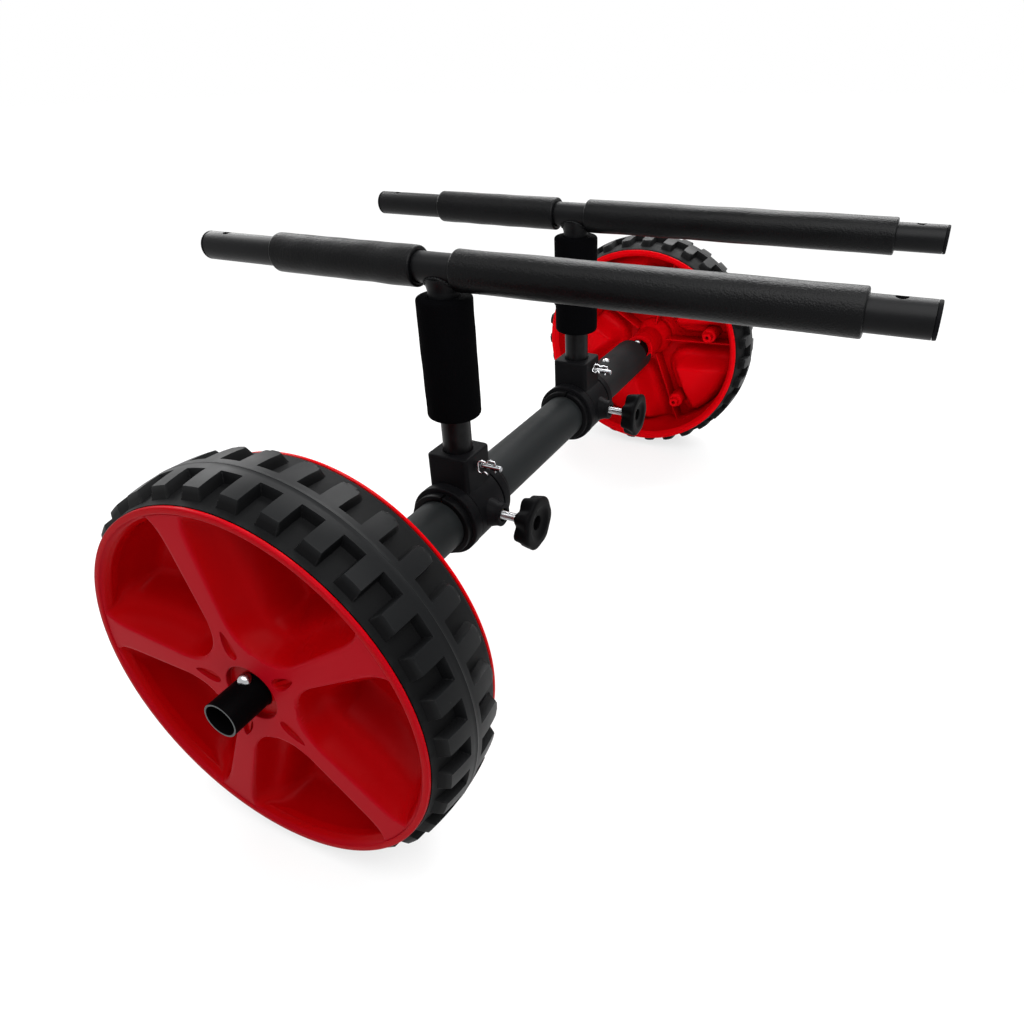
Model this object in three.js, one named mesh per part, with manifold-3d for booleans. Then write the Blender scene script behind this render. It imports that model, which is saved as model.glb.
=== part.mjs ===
import * as THREE from 'three';
import { mergeVertices } from 'three/addons/utils/BufferGeometryUtils.js';
import Module from 'manifold-3d';

// Kayak cart: two spoked plastic wheels with lugged tyres run on stub tubes in the
// ends of a tube axle, and two clamp collars on the axle carry padded T-shaped bunks.
// Millimetres, +Z up. The bunks run along X and the axle along Y, and the floor under
// the wheels is Z = 0. The near side is -Y.

// Clearances and shared small sizes
const runClearance = 0.4;
const fitClearance = 0.3;
const cutOverrun = 2;
const roundSides = 16;
const smallSides = 8;
const capSides = 12;
const foamSides = 14;

// Axle
const axleLength = 600;
const axleRadius = 23;
const axleWall = 2;
const axleNotchLength = 18;
const axleNotchRise = 2;

// Wheels
const wheelReach = 52.5;
const rimWidth = 77;
const rimFlangeRadius = 133;
const rimFlangeThickness = 2.9;
const rimFlangeLand = 4.5;
const rimBarrelDrop = 5.6;
const rimBarrelWall = 3.2;
const spokeCount = 5;
const spokeFirstAngle = THREE.MathUtils.degToRad(33);
const spokeRootHalfWidth = 6;
const spokeRimHalfWidth = 10;
const webThickness = 4;
const webRecess = 1;
const pocketDepth = 44;
const rowShares = [0, 0.15, 0.28, 0.5, 0.8, 1];
const rowDepthShares = [0, 0.05, 0.62, 1, 0.94, 0.7];
const columnShares = [0, 0.14, 0.32, 0.5, 0.68, 0.86, 1];
const columnDepthShares = [0, 0.7, 0.97, 1, 0.97, 0.7, 0];
const ribThickness = 2.4;
const ribHeight = 34;
const screwBossRadius = 5.5;
const screwBossSides = 6;
const screwBossHeight = 30;
const screwBossPitchRadius = 92;

// Wheel centre
const hubBoreRadius = 12.9;
const hubSleeveRadius = 19;
const hubSleeveInset = 2;
const hubRingRadius = 25.5;
const hubRingDepth = 13;
const hubSleeveTaperDepth = 30;
const counterboreRadius = 20.5;
const counterboreDepth = 4;
const hubSides = 16;

// Tyre
const tyreRise = 12;
const tyreWidth = 70.6;
const tyreShoulderRise = 3;
const lugCount = 31;
const lugHeight = 6.8;
const lugBandWidth = 61.6;
const lugBandOffset = 4.5;
const lugEndSlope = 3.2;
const crownBandWidth = 14;
const pocketWallDraft = 0.9;
const pocketEndDraft = 2;

// Stub tubes and the plugs that hold them
const stubRadius = 12.5;
const stubWall = 1.5;
const stubProjection = 115;
const stubGripLength = 120;
const plugLength = 105;

// Spring buttons
const buttonRadius = 4.5;
const buttonRise = 3.4;
const buttonFlangeRadius = 5.6;
const buttonFlangeThickness = 1.4;
const buttonFlangeDrop = 2.2;
const lockInset = 104;
const nearLockTurn = Math.PI;
const farLockTurn = 0;
const stopReach = 9;
const springWidth = 6;
const springLeaf = 0.8;
const springLength = 30;
const springFootGap = 0.4;
const springBendShare = 1 / 4;

// Clamp collars
const nearBunkInset = 57;
const farBunkInset = 88;
const drumRadius = 29.6;
const drumFlangeRadius = 32;
const drumFlangeWidth = 10;
const drumLength = 60;
const drumSides = 20;
const socketWidth = 39;
const socketTop = 57;
const socketFloor = 28;
const socketCornerRadius = 4;
const socketTopRound = 1;
const bossRise = 16.5;
const bossEndRadius = 10.5;
const bossRootRadius = 13;
const insertRadius = 5.8;
const insertSetBack = 6.1;

// Split liner
const linerRadius = 25;
const linerLength = 74;
const linerLipRadius = 28;
const linerLipWidth = 6.6;
const linerSplitWidth = 2;
const linerSplitAngle = THREE.MathUtils.degToRad(8);

// Clamp screw and star knob
const screwRadius = 4;
const screwInKnob = 9;
const knobStart = 56;
const knobRadius = 25;
const knobThickness = 21;
const knobLobes = 7;
const knobLobeDepth = 5.2;
const knobFirstLobe = THREE.MathUtils.degToRad(46);
const knobEdgeRound = 2.5;
const knobLobeSteps = 4;
const knobDishRadius = 15;
const knobDishDepth = 3;
const knobEyeRadius = 5;
const knobEyeDepth = 6;
const knobNeckRadius = 10;
const knobNeckLength = 2;

// Hitch pin and its clip
const hitchHeight = 45;
const hitchRadius = 2.5;
const hitchHeadRadius = 5;
const hitchHeadThickness = 3.5;
const hitchTip = 42;
const hitchTipChamfer = 0.8;
const clipWireRadius = 0.9;
const clipHoleX = 35.5;
const clipReach = 14;
const clipRise = 5.6;
const clipStandoff = 4.1;
const clipWireEnd = 5;
const clipSteps = 26;
const clipSides = 5;
const nearClipTurn = 0;
const farClipTurn = THREE.MathUtils.degToRad(-50);

// Places along the clip wire after the pin, as shares of its reach, standoff and rise
const clipPlaceShares = [
  [0.12, 0.05, 1],
  [0.34, 0.15, 1.08],
  [0.56, 0.35, 0.78],
  [0.78, 0.6, 1],
  [1, 0.9, 0.8],
  [1, 1, 0],
  [1, 1, -0.7],
  [0.76, 1, -0.92],
  [0.56, 1, -0.62],
  [0.34, 1, -1],
];

// Uprights
const uprightRadius = 12.5;
const uprightWall = 1.5;
const uprightFlare = 1.5;
const uprightFlareHeight = 7;
const uprightCopeDepth = 6;
const uprightFoamRadius = 22.6;
const uprightFoamLift = 31.6;
const uprightFoamDrop = 20.3;
const foamEdgeRound = 3;

// Bunks
const bunkHeight = 209.3;
const bunkRadius = 12;
const bunkWall = 1.5;
const bunkBack = 240;
const bunkFront = 346;
const bunkHoleRadius = 4;
const bunkHoleInset = 20;
const bunkFoamRadius = 16;
const bunkFoamEdgeRound = 2;
const shortFoamStart = -159;
const shortFoamEnd = -20;
const longFoamStart = 14.5;
const longFoamEnd = 305;
const capFlange = 2.5;
const capFlangeRound = 1;
const capPlugLength = 14;

// Derived places
const rimHalf = rimWidth / 2;
const rimBarrelRadius = rimFlangeRadius - rimBarrelDrop;
const tyreRadius = rimFlangeRadius + tyreRise;
const tyreShoulderRadius = rimFlangeRadius + tyreShoulderRise;
const floorToAxle = tyreRadius;
const bunkMiddle = (bunkFront - bunkBack) / 2;
const axleEnd = axleLength / 2;
const wheelCentre = axleEnd + wheelReach;
const notchStart = axleEnd - axleNotchLength;
const stubBore = stubRadius - stubWall;
const stubEnd = axleEnd + stubProjection;
const stubStart = axleEnd - stubGripLength;
const lockY = axleEnd - lockInset;
const nearBunkY = -lockY + nearBunkInset;
const farBunkY = lockY - farBunkInset;
const hubOuterFace = wheelCentre + rimHalf - webRecess - counterboreDepth;
const stopY = axleEnd + stopReach;
const retainerY = hubOuterFace + webRecess + buttonRadius;
const uprightFoamStart = socketTop + uprightFoamLift;
const uprightFoamEnd = bunkHeight - uprightFoamDrop;
const drumHalf = drumLength / 2;
const bossReach = linerRadius + bossRise;
const insertStart = linerRadius + insertSetBack;
const socketHalf = socketWidth / 2;

const materials = {
  tube: finish(0x26282a, 0.55, 0.3),
  plastic: finish(0x1d1e20, 0.55, 0),
  foam: finish(0x121213, 0.95, 0),
  wheel: finish(0xc0041a, 0.3, 0),
  rubber: finish(0x2b2d2e, 0.7, 0),
  steel: finish(0xc9ccce, 0.25, 1),
  brass: finish(0xa88b4c, 0.4, 1),
};

function finish(color, roughness, metalness) {
  return new THREE.MeshStandardMaterial({ color, roughness, metalness });
}

const wasm = await Module();
wasm.setup();

// A closed geometry as a solid, with its faces turned outwards
function toSolid(geometry) {
  const bare = geometry.clone();
  bare.deleteAttribute('normal');
  bare.deleteAttribute('uv');
  const merged = mergeVertices(bare);
  const index = merged.index.array;
  const position = merged.attributes.position;
  const corners = [new THREE.Vector3(), new THREE.Vector3(), new THREE.Vector3()];
  const kept = [];
  let volume = 0;
  for (let i = 0; i < index.length; i += 3) {
    const [a, b, c] = [index[i], index[i + 1], index[i + 2]];
    if (a === b || b === c || c === a) continue;
    kept.push(a, b, c);
    corners[0].fromBufferAttribute(position, a);
    corners[1].fromBufferAttribute(position, b);
    corners[2].fromBufferAttribute(position, c);
    volume += corners[0].dot(corners[1].cross(corners[2]));
  }
  if (volume < 0) kept.reverse();
  const mesh = new wasm.Mesh({
    numProp: 3,
    vertProperties: new Float32Array(position.array),
    triVerts: new Uint32Array(kept),
  });
  return new wasm.Manifold(mesh);
}

function toGeometry(solid) {
  const mesh = solid.getMesh();
  const geometry = new THREE.BufferGeometry();
  geometry.setAttribute('position', new THREE.BufferAttribute(mesh.vertProperties, 3));
  geometry.setIndex(new THREE.BufferAttribute(mesh.triVerts, 1));
  geometry.computeVertexNormals();
  return geometry;
}

function join(...solids) {
  return solids.reduce((whole, next) => whole.add(next));
}

function cut(solid, ...tools) {
  return tools.reduce((left, tool) => left.subtract(tool), solid);
}

// The corner radius of a faceted bore whose flats stand at the true radius
function overFlats(radius, sides) {
  return radius / Math.cos(Math.PI / sides);
}

const turnToAxis = {
  x: (geometry) => geometry.rotateZ(-Math.PI / 2),
  y: (geometry) => geometry,
  z: (geometry) => geometry.rotateX(Math.PI / 2),
};

// A closed [radius, place] outline turned about an axis
function revolve(outline, sides, axis = 'y', phase = 0) {
  const points = [...outline, outline[0]].map(([r, h]) => new THREE.Vector2(r, h));
  return turnToAxis[axis](new THREE.LatheGeometry(points, sides, phase));
}

function rod(radius, start, end, axis, sides = roundSides) {
  return revolve([[0, start], [radius, start], [radius, end], [0, end]], sides, axis);
}

function tube(bore, radius, start, end, axis, sides = roundSides) {
  const inner = overFlats(bore, sides);
  return revolve([[inner, start], [radius, start], [radius, end], [inner, end]], sides, axis);
}

function box(minimum, maximum) {
  const size = maximum.clone().sub(minimum);
  const middle = minimum.clone().add(maximum).multiplyScalar(1 / 2);
  return new THREE.BoxGeometry(size.x, size.y, size.z).translate(middle.x, middle.y, middle.z);
}

// Places up one side of a rounded edge, from the side face to the end face
function roundedEdge(radius, end, round, direction, steps = 2) {
  const points = [];
  for (let i = 0; i <= steps; i += 1) {
    const angle = (Math.PI / 2) * (i / steps);
    const r = radius - round + round * Math.cos(angle);
    points.push([r, end - direction * round * (1 - Math.sin(angle))]);
  }
  return points;
}

function roundedSleeve(bore, radius, start, end, round, axis) {
  const inner = overFlats(bore, foamSides);
  const outline = [
    [inner, start],
    ...roundedEdge(radius, start, round, -1, 1).reverse(),
    ...roundedEdge(radius, end, round, 1, 1),
    [inner, end],
  ];
  return revolve(outline, foamSides, axis, Math.PI / foamSides);
}

function addMesh(parent, name, shape, material) {
  const geometry = shape.isBufferGeometry ? shape : toGeometry(shape);
  const mesh = new THREE.Mesh(geometry, material);
  mesh.name = name;
  parent.add(mesh);
  return mesh;
}

// A faceted drill whose flats stand at the radius
function boringTool(radius, start, end, axis, sides) {
  return toSolid(rod(overFlats(radius, sides), start, end, axis, sides));
}

// A hole through one wall of a tube that lies along Y: the upper wall at no turn
function wallHole(y, radius, reach, turn) {
  const drill = boringTool(radius, 0, reach, 'z', smallSides);
  return drill.rotate([0, THREE.MathUtils.radToDeg(turn), 0]).translate([0, y, 0]);
}

function axleTube() {
  const wall = toSolid(tube(axleRadius - axleWall, axleRadius, -axleEnd, axleEnd, 'y'));
  const reach = axleRadius + cutOverrun;
  const sides = [[-1, nearLockTurn], [1, farLockTurn]];
  const tools = sides.flatMap(([side, lockTurn]) => {
    const inside = side * notchStart;
    const outside = side * (axleEnd + cutOverrun);
    const notch = box(
      new THREE.Vector3(-reach, Math.min(inside, outside), axleNotchRise),
      new THREE.Vector3(reach, Math.max(inside, outside), reach),
    );
    const hole = wallHole(side * lockY, buttonRadius + fitClearance, reach, lockTurn);
    return [toSolid(notch), hole];
  });
  return cut(wall, ...tools);
}

// The plug that fills the axle end and holds the stub tube
function plug(lockTurn) {
  const outer = axleRadius - axleWall - fitClearance;
  const start = notchStart - plugLength;
  const body = toSolid(tube(stubRadius + fitClearance, outer, start, notchStart, 'y'));
  return cut(body, wallHole(lockY, buttonRadius + fitClearance, axleRadius, lockTurn));
}

function stub(lockTurn) {
  const wall = toSolid(tube(stubBore, stubRadius, stubStart, stubEnd, 'y'));
  const holes = [[lockY, lockTurn], [stopY, 0], [retainerY, 0]].map(([y, turn]) => (
    wallHole(y, buttonRadius + fitClearance, stubRadius + cutOverrun, turn)
  ));
  return cut(wall, ...holes);
}

// A domed button that stands through the tube wall at the surface radius
function springButton(y, surfaceRadius) {
  const flangeTop = stubBore - buttonFlangeDrop;
  const top = surfaceRadius + buttonRise;
  const outline = [
    [0, flangeTop - buttonFlangeThickness],
    [buttonFlangeRadius, flangeTop - buttonFlangeThickness],
    [buttonFlangeRadius, flangeTop],
    [buttonRadius, flangeTop],
    ...roundedEdge(buttonRadius, top, buttonRise, 1),
    [0, top],
  ];
  return revolve(outline, smallSides, 'z').translate(0, y, 0);
}

// A bent leaf from under the button to the floor of the stub bore
function buttonSpring(y, direction) {
  const top = stubBore - buttonFlangeDrop - buttonFlangeThickness - fitClearance;
  const foot = -Math.sqrt(stubBore ** 2 - (springWidth / 2) ** 2) + springFootGap;
  const bendRadius = (top - foot) * springBendShare;
  const reach = springLength - bendRadius;
  const bendHeight = (top + foot) / 2;
  const shape = new THREE.Shape();
  shape.moveTo(-buttonRadius, top);
  shape.lineTo(reach, bendHeight + bendRadius);
  shape.absarc(reach, bendHeight, bendRadius, Math.PI / 2, -Math.PI / 2, true);
  shape.lineTo(-buttonRadius, foot);
  shape.lineTo(-buttonRadius, foot + springLeaf);
  shape.lineTo(reach, bendHeight - bendRadius + springLeaf);
  shape.absarc(reach, bendHeight, bendRadius - springLeaf, -Math.PI / 2, Math.PI / 2, false);
  shape.lineTo(-buttonRadius, top - springLeaf);
  shape.closePath();
  const options = { depth: springWidth, bevelEnabled: false, curveSegments: 3 };
  const leaf = new THREE.ExtrudeGeometry(shape, options);
  leaf.translate(0, 0, -springWidth / 2);
  leaf.rotateX(Math.PI / 2);
  leaf.rotateZ(direction * (Math.PI / 2));
  return leaf.translate(0, y, 0);
}

// Half-width of a spoke at a radius
function spokeHalfWidth(radius) {
  const share = (radius - hubRingRadius) / (rimFlangeRadius - hubRingRadius);
  return THREE.MathUtils.lerp(spokeRootHalfWidth, spokeRimHalfWidth, share);
}

// The closed outline of web and rim along one column, as [radius, outward place]
function rimColumn(depthShare) {
  const side = rimHalf - rimFlangeThickness;
  const bore = rimBarrelRadius - rimBarrelWall;
  const land = rimFlangeRadius - rimFlangeLand;
  const coneStart = side - rimFlangeThickness;
  const webStart = (hubRingRadius + counterboreRadius) / 2;
  const wallRadius = (out) => {
    const coneShare = Math.max(0, (out - coneStart) / (rimHalf - coneStart));
    return THREE.MathUtils.lerp(bore, land, coneShare);
  };
  const webRow = (setBack) => rowShares.map((share, row) => {
    const out = rimHalf - webRecess - setBack - pocketDepth * rowDepthShares[row] * depthShare;
    return [THREE.MathUtils.lerp(webStart, wallRadius(out), share), out];
  });
  const front = webRow(0);
  const frontEnd = front[front.length - 1][1];
  const coneBreak = Math.max(coneStart, (frontEnd + rimHalf) / 2);
  return [
    ...front,
    [wallRadius(coneBreak), coneBreak],
    [land, rimHalf],
    [rimFlangeRadius, rimHalf],
    [rimFlangeRadius, side],
    [rimBarrelRadius, side],
    [rimBarrelRadius, -side],
    [rimFlangeRadius, -side],
    [rimFlangeRadius, -rimHalf],
    [land, -rimHalf],
    [bore, -coneStart],
    ...webRow(webThickness).reverse(),
  ];
}

// Web and rim in one closed loft: its columns follow the edges of the flat spokes and
// dip into the pockets between them. The outward side faces -Y.
function rimAndWeb() {
  const bore = rimBarrelRadius - rimBarrelWall;
  const sector = (2 * Math.PI) / spokeCount;
  const vertices = [];
  let rows = 0;
  for (let spoke = 0; spoke < spokeCount; spoke += 1) {
    columnShares.forEach((share, column) => {
      const outline = rimColumn(columnDepthShares[column]);
      rows = outline.length;
      for (const [radius, out] of outline) {
        const webRadius = Math.min(radius, bore);
        const edge = Math.asin(spokeHalfWidth(webRadius) / webRadius);
        const turn = THREE.MathUtils.lerp(edge, sector - edge, share);
        const angle = spokeFirstAngle + spoke * sector + turn;
        vertices.push(radius * Math.cos(angle), -out, radius * Math.sin(angle));
      }
    });
  }
  const columns = spokeCount * columnShares.length;
  const at = (column, row) => (column % columns) * rows + (row % rows);
  const faces = [];
  for (let column = 0; column < columns; column += 1) {
    for (let row = 0; row < rows; row += 1) {
      const [a, b] = [at(column, row), at(column + 1, row)];
      const [c, d] = [at(column + 1, row + 1), at(column, row + 1)];
      faces.push(a, b, c, a, c, d);
    }
  }
  const shell = new THREE.BufferGeometry();
  shell.setAttribute('position', new THREE.Float32BufferAttribute(vertices, 3));
  shell.setIndex(faces);
  return toSolid(shell);
}

// The bore sleeve and the ring round the counterbore, with its open face at -Y
function hubSleeve() {
  const face = rimHalf - webRecess;
  const floor = face - counterboreDepth;
  const bore = overFlats(hubBoreRadius, hubSides);
  return toSolid(revolve([
    [bore, rimHalf - hubSleeveInset],
    [hubSleeveRadius, rimHalf - hubSleeveInset],
    [hubSleeveRadius, -face + hubSleeveTaperDepth],
    [hubRingRadius, -face + hubRingDepth],
    [hubRingRadius, -face],
    [counterboreRadius, -face],
    [counterboreRadius, -floor],
    [bore, -floor],
  ], hubSides));
}

// Two thin ribs and a screw boss behind one spoke, along +X
function spokeBack() {
  const face = -(rimHalf - webRecess - webThickness / 2);
  const outer = rimBarrelRadius - rimBarrelWall / 2;
  const inner = (hubBoreRadius + hubSleeveRadius) / 2;
  const offset = spokeRootHalfWidth - ribThickness;
  const ribs = [-1, 1].map((side) => toSolid(box(
    new THREE.Vector3(inner, face, side * offset - ribThickness / 2),
    new THREE.Vector3(outer, face + ribHeight, side * offset + ribThickness / 2),
  )));
  const boss = toSolid(rod(screwBossRadius, face, face + screwBossHeight, 'y', screwBossSides));
  return join(...ribs, boss.translate([screwBossPitchRadius, 0, 0]));
}

function hub() {
  const back = spokeBack();
  const backs = Array.from({ length: spokeCount }, (_, spoke) => {
    const angle = spokeFirstAngle + (spoke * 2 * Math.PI) / spokeCount;
    return back.rotate([0, -THREE.MathUtils.radToDeg(angle), 0]);
  });
  return join(rimAndWeb(), hubSleeve(), ...backs);
}

// The cutting block of one tread pocket, at the bottom of the tyre, towards +Y
function treadPocket() {
  const facet = Math.tan(Math.PI / (2 * lugCount));
  const floor = tyreRadius - lugHeight;
  const top = tyreRadius + cutOverrun;
  const innerEnd = crownBandWidth / 2;
  const outerEnd = lugBandWidth / 2 + cutOverrun;
  const halfAt = (radius, draft) => radius * facet + draft;
  const draftAt = (radius) => pocketWallDraft * (2 * (radius - floor) / lugHeight - 1);
  const startAt = (radius) => innerEnd + pocketEndDraft * (1 - (radius - floor) / lugHeight);
  const corners = [];
  for (const radius of [floor, top]) {
    const half = halfAt(radius, draftAt(radius));
    corners.push([-half, startAt(radius), -radius], [half, startAt(radius), -radius]);
    corners.push([half, outerEnd, -radius], [-half, outerEnd, -radius]);
  }
  const block = new THREE.BufferGeometry();
  block.setAttribute('position', new THREE.Float32BufferAttribute(corners.flat(), 3));
  block.setIndex([
    0, 1, 2, 0, 2, 3, 4, 6, 5, 4, 7, 6, 0, 4, 5, 0, 5, 1,
    1, 5, 6, 1, 6, 2, 2, 6, 7, 2, 7, 3, 3, 7, 4, 3, 4, 0,
  ]);
  return toSolid(block);
}

// The tyre with its outer face at -Y: a lug of the outer row stands on the floor
function tyre() {
  const sides = 2 * lugCount;
  const bead = rimBarrelRadius + runClearance;
  const half = tyreWidth / 2;
  const bandHalf = lugBandWidth / 2;
  const foot = tyreRadius - lugHeight - fitClearance;
  const outline = [
    [bead, -half],
    [rimFlangeRadius, -half],
    [foot, -lugBandOffset - bandHalf],
    [tyreRadius, -lugBandOffset - bandHalf + lugEndSlope],
    [tyreRadius, -lugBandOffset + bandHalf - lugEndSlope],
    [foot, -lugBandOffset + bandHalf],
    [tyreShoulderRadius, half],
    [bead, half],
  ].map(([radius, place]) => [overFlats(radius, sides), place]);
  const body = toSolid(revolve(outline, sides, 'y', Math.PI / sides));
  const pocket = treadPocket();
  const step = 360 / lugCount;
  const pockets = [];
  for (let lug = 0; lug < lugCount; lug += 1) {
    const outerRow = pocket.rotate([0, 0, 180]);
    pockets.push(outerRow.rotate([0, (lug + 1 / 2) * step, 0]).translate([0, -lugBandOffset, 0]));
    pockets.push(pocket.rotate([0, lug * step, 0]).translate([0, -lugBandOffset, 0]));
  }
  return cut(body, join(...pockets));
}

function liner() {
  const half = linerLength / 2;
  const bore = overFlats(axleRadius + fitClearance, roundSides);
  const ring = toSolid(revolve([
    [bore, -half],
    [linerLipRadius, -half],
    [linerLipRadius, -half + linerLipWidth],
    [linerRadius, -half + linerLipWidth],
    [linerRadius, half - linerLipWidth],
    [linerLipRadius, half - linerLipWidth],
    [linerLipRadius, half],
    [bore, half],
  ], roundSides));
  const split = box(
    new THREE.Vector3(-linerSplitWidth / 2, -half - cutOverrun, axleRadius - axleWall),
    new THREE.Vector3(linerSplitWidth / 2, half + cutOverrun, linerLipRadius + cutOverrun),
  ).rotateY(linerSplitAngle);
  return cut(ring, toSolid(split));
}

function roundedSquare(width, round) {
  const half = width / 2;
  const shape = new THREE.Shape();
  shape.moveTo(half - round, -half);
  shape.absarc(half - round, -half + round, round, -Math.PI / 2, 0, false);
  shape.absarc(half - round, half - round, round, 0, Math.PI / 2, false);
  shape.absarc(-half + round, half - round, round, Math.PI / 2, Math.PI, false);
  shape.absarc(-half + round, -half + round, round, Math.PI, Math.PI * (3 / 2), false);
  shape.closePath();
  return shape;
}

function collar() {
  const flangeInner = drumHalf - drumFlangeWidth;
  const bore = linerRadius + fitClearance;
  const drum = toSolid(revolve([
    [0, -drumHalf],
    [drumFlangeRadius, -drumHalf],
    [drumFlangeRadius, -flangeInner],
    [drumRadius, -flangeInner],
    [drumRadius, flangeInner],
    [drumFlangeRadius, flangeInner],
    [drumFlangeRadius, drumHalf],
    [0, drumHalf],
  ], drumSides));
  const socketShape = roundedSquare(socketWidth - 2 * socketTopRound, socketCornerRadius - socketTopRound);
  const socket = toSolid(new THREE.ExtrudeGeometry(socketShape, {
    depth: socketTop - socketTopRound,
    bevelThickness: socketTopRound,
    bevelSize: socketTopRound,
    bevelSegments: 1,
    curveSegments: 2,
  }));
  const boss = toSolid(revolve([
    [0, 0],
    [bossRootRadius, 0],
    [bossRootRadius, bore],
    [bossEndRadius, bossReach - socketTopRound],
    [bossEndRadius - socketTopRound, bossReach],
    [0, bossReach],
  ], capSides, 'x'));
  const drumReach = drumHalf + cutOverrun;
  const pocketStart = insertStart - fitClearance;
  const tools = [
    boringTool(bore, -drumReach, drumReach, 'y', drumSides),
    boringTool(uprightRadius + fitClearance, socketFloor, socketTop + cutOverrun, 'z', roundSides),
    boringTool(screwRadius + fitClearance, 0, bossReach, 'x', smallSides),
    boringTool(insertRadius + fitClearance, pocketStart, bossReach + cutOverrun, 'x', smallSides),
    hitchHole(socketHalf + cutOverrun),
  ];
  return cut(join(drum, socket, boss), ...tools);
}

function hitchHole(reach) {
  const drill = boringTool(hitchRadius + fitClearance, -reach, reach, 'x', smallSides);
  return drill.translate([0, 0, hitchHeight]);
}

function screwInsert() {
  const end = bossReach - fitClearance;
  const bore = screwRadius + fitClearance / 2;
  return tube(bore, insertRadius, insertStart, end, 'x', smallSides);
}

function clampScrew() {
  return rod(screwRadius, linerRadius + fitClearance, knobStart + screwInKnob, 'x', smallSides);
}

// The lobed outline of the knob in its own plane
function knobOutline(inset) {
  const shape = new THREE.Shape();
  const count = knobLobes * knobLobeSteps;
  for (let i = 0; i < count; i += 1) {
    const angle = (2 * Math.PI * i) / count;
    const wave = (1 + Math.cos(knobLobes * angle)) / 2;
    const radius = knobRadius - inset - knobLobeDepth * (1 - wave) ** 2;
    const place = [radius * Math.cos(angle), radius * Math.sin(angle)];
    if (i === 0) shape.moveTo(...place);
    else shape.lineTo(...place);
  }
  shape.closePath();
  return shape;
}

function knob() {
  const body = toSolid(new THREE.ExtrudeGeometry(knobOutline(knobEdgeRound), {
    depth: knobThickness - 2 * knobEdgeRound - knobNeckLength,
    bevelThickness: knobEdgeRound,
    bevelSize: knobEdgeRound,
    bevelSegments: 1,
  }).translate(0, 0, knobEdgeRound + knobNeckLength));
  const neck = toSolid(rod(knobNeckRadius, 0, knobThickness / 2, 'z', capSides));
  const dishSlope = knobDishDepth / (knobDishRadius - knobEyeRadius);
  const dish = toSolid(revolve([
    [0, knobThickness - knobDishDepth],
    [knobEyeRadius, knobThickness - knobDishDepth],
    [knobDishRadius + cutOverrun, knobThickness + cutOverrun * dishSlope],
    [0, knobThickness + cutOverrun],
  ], capSides, 'z'));
  const eyeFloor = knobThickness - knobDishDepth - knobEyeDepth;
  const eye = toSolid(rod(knobEyeRadius, eyeFloor, knobThickness, 'z', smallSides));
  const boreEnd = screwInKnob + fitClearance;
  const bore = boringTool(screwRadius + fitClearance, -cutOverrun, boreEnd, 'z', smallSides);
  const turned = toGeometry(cut(join(body, neck), dish, eye, bore));
  turned.rotateZ(knobFirstLobe);
  turned.rotateY(Math.PI / 2);
  return turned.translate(knobStart, 0, 0);
}

function hitchPin() {
  const headEnd = -socketHalf - fitClearance;
  const pin = toSolid(revolve([
    [0, headEnd - hitchHeadThickness],
    [hitchHeadRadius, headEnd - hitchHeadThickness],
    [hitchHeadRadius, headEnd],
    [hitchRadius, headEnd],
    [hitchRadius, hitchTip - hitchTipChamfer],
    [hitchRadius - hitchTipChamfer, hitchTip],
    [0, hitchTip],
  ], smallSides, 'x'));
  const wireRadius = clipWireRadius + fitClearance;
  const hole = boringTool(wireRadius, -hitchHeadRadius, hitchHeadRadius, 'z', smallSides);
  return toGeometry(cut(pin, hole.translate([clipHoleX, 0, 0])));
}

// A bent wire clip: one end stands in the pin's cross hole, and the rest lies
// back along the pin, round it by the socket and out again underneath
function hitchClip() {
  const legEnd = clipWireEnd;
  const strand = clipPlaceShares.map(([back, aside, up]) => (
    [clipHoleX - clipReach * back, -clipStandoff * aside, clipRise * up]
  ));
  const points = [
    [clipHoleX, 0, -legEnd],
    [clipHoleX, 0, 0],
    [clipHoleX, 0, legEnd],
    ...strand,
  ].map(([x, y, z]) => new THREE.Vector3(x, y, z));
  const section = new THREE.Shape();
  for (let i = 0; i < clipSides; i += 1) {
    const angle = (2 * Math.PI * i) / clipSides;
    const place = [clipWireRadius * Math.cos(angle), clipWireRadius * Math.sin(angle)];
    if (i === 0) section.moveTo(...place);
    else section.lineTo(...place);
  }
  section.closePath();
  return new THREE.ExtrudeGeometry(section, {
    steps: clipSteps,
    extrudePath: new THREE.CatmullRomCurve3(points, false, 'centripetal'),
  });
}

// The upright, flared and coped under the bunk, with cross holes for the hitch pin
function upright() {
  const bore = overFlats(uprightRadius - uprightWall, roundSides);
  const start = socketFloor + fitClearance;
  const flareStart = bunkHeight - bunkRadius - uprightFlareHeight + uprightFlare;
  const flareEnd = bunkHeight - bunkRadius + uprightCopeDepth;
  const body = toSolid(revolve([
    [bore, start],
    [uprightRadius, start],
    [uprightRadius, flareStart],
    [uprightRadius + uprightFlare, flareEnd],
    [bore, flareEnd],
  ], roundSides, 'z'));
  const reach = uprightRadius + uprightFlare + cutOverrun;
  const cope = boringTool(bunkRadius + fitClearance / 2, -reach, reach, 'x', roundSides);
  return cut(body, cope.translate([0, 0, bunkHeight]), hitchHole(reach));
}

function bunkTube() {
  const start = -bunkBack + capFlange + fitClearance;
  const end = bunkFront - capFlange - fitClearance;
  const wall = toSolid(tube(bunkRadius - bunkWall, bunkRadius, start, end, 'x'));
  const holes = [start + bunkHoleInset, end - bunkHoleInset].map((x) => (
    wallHole(0, bunkHoleRadius, bunkRadius + cutOverrun, 0).translate([x, 0, 0])
  ));
  return toGeometry(cut(wall, ...holes)).translate(0, 0, bunkHeight);
}

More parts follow.
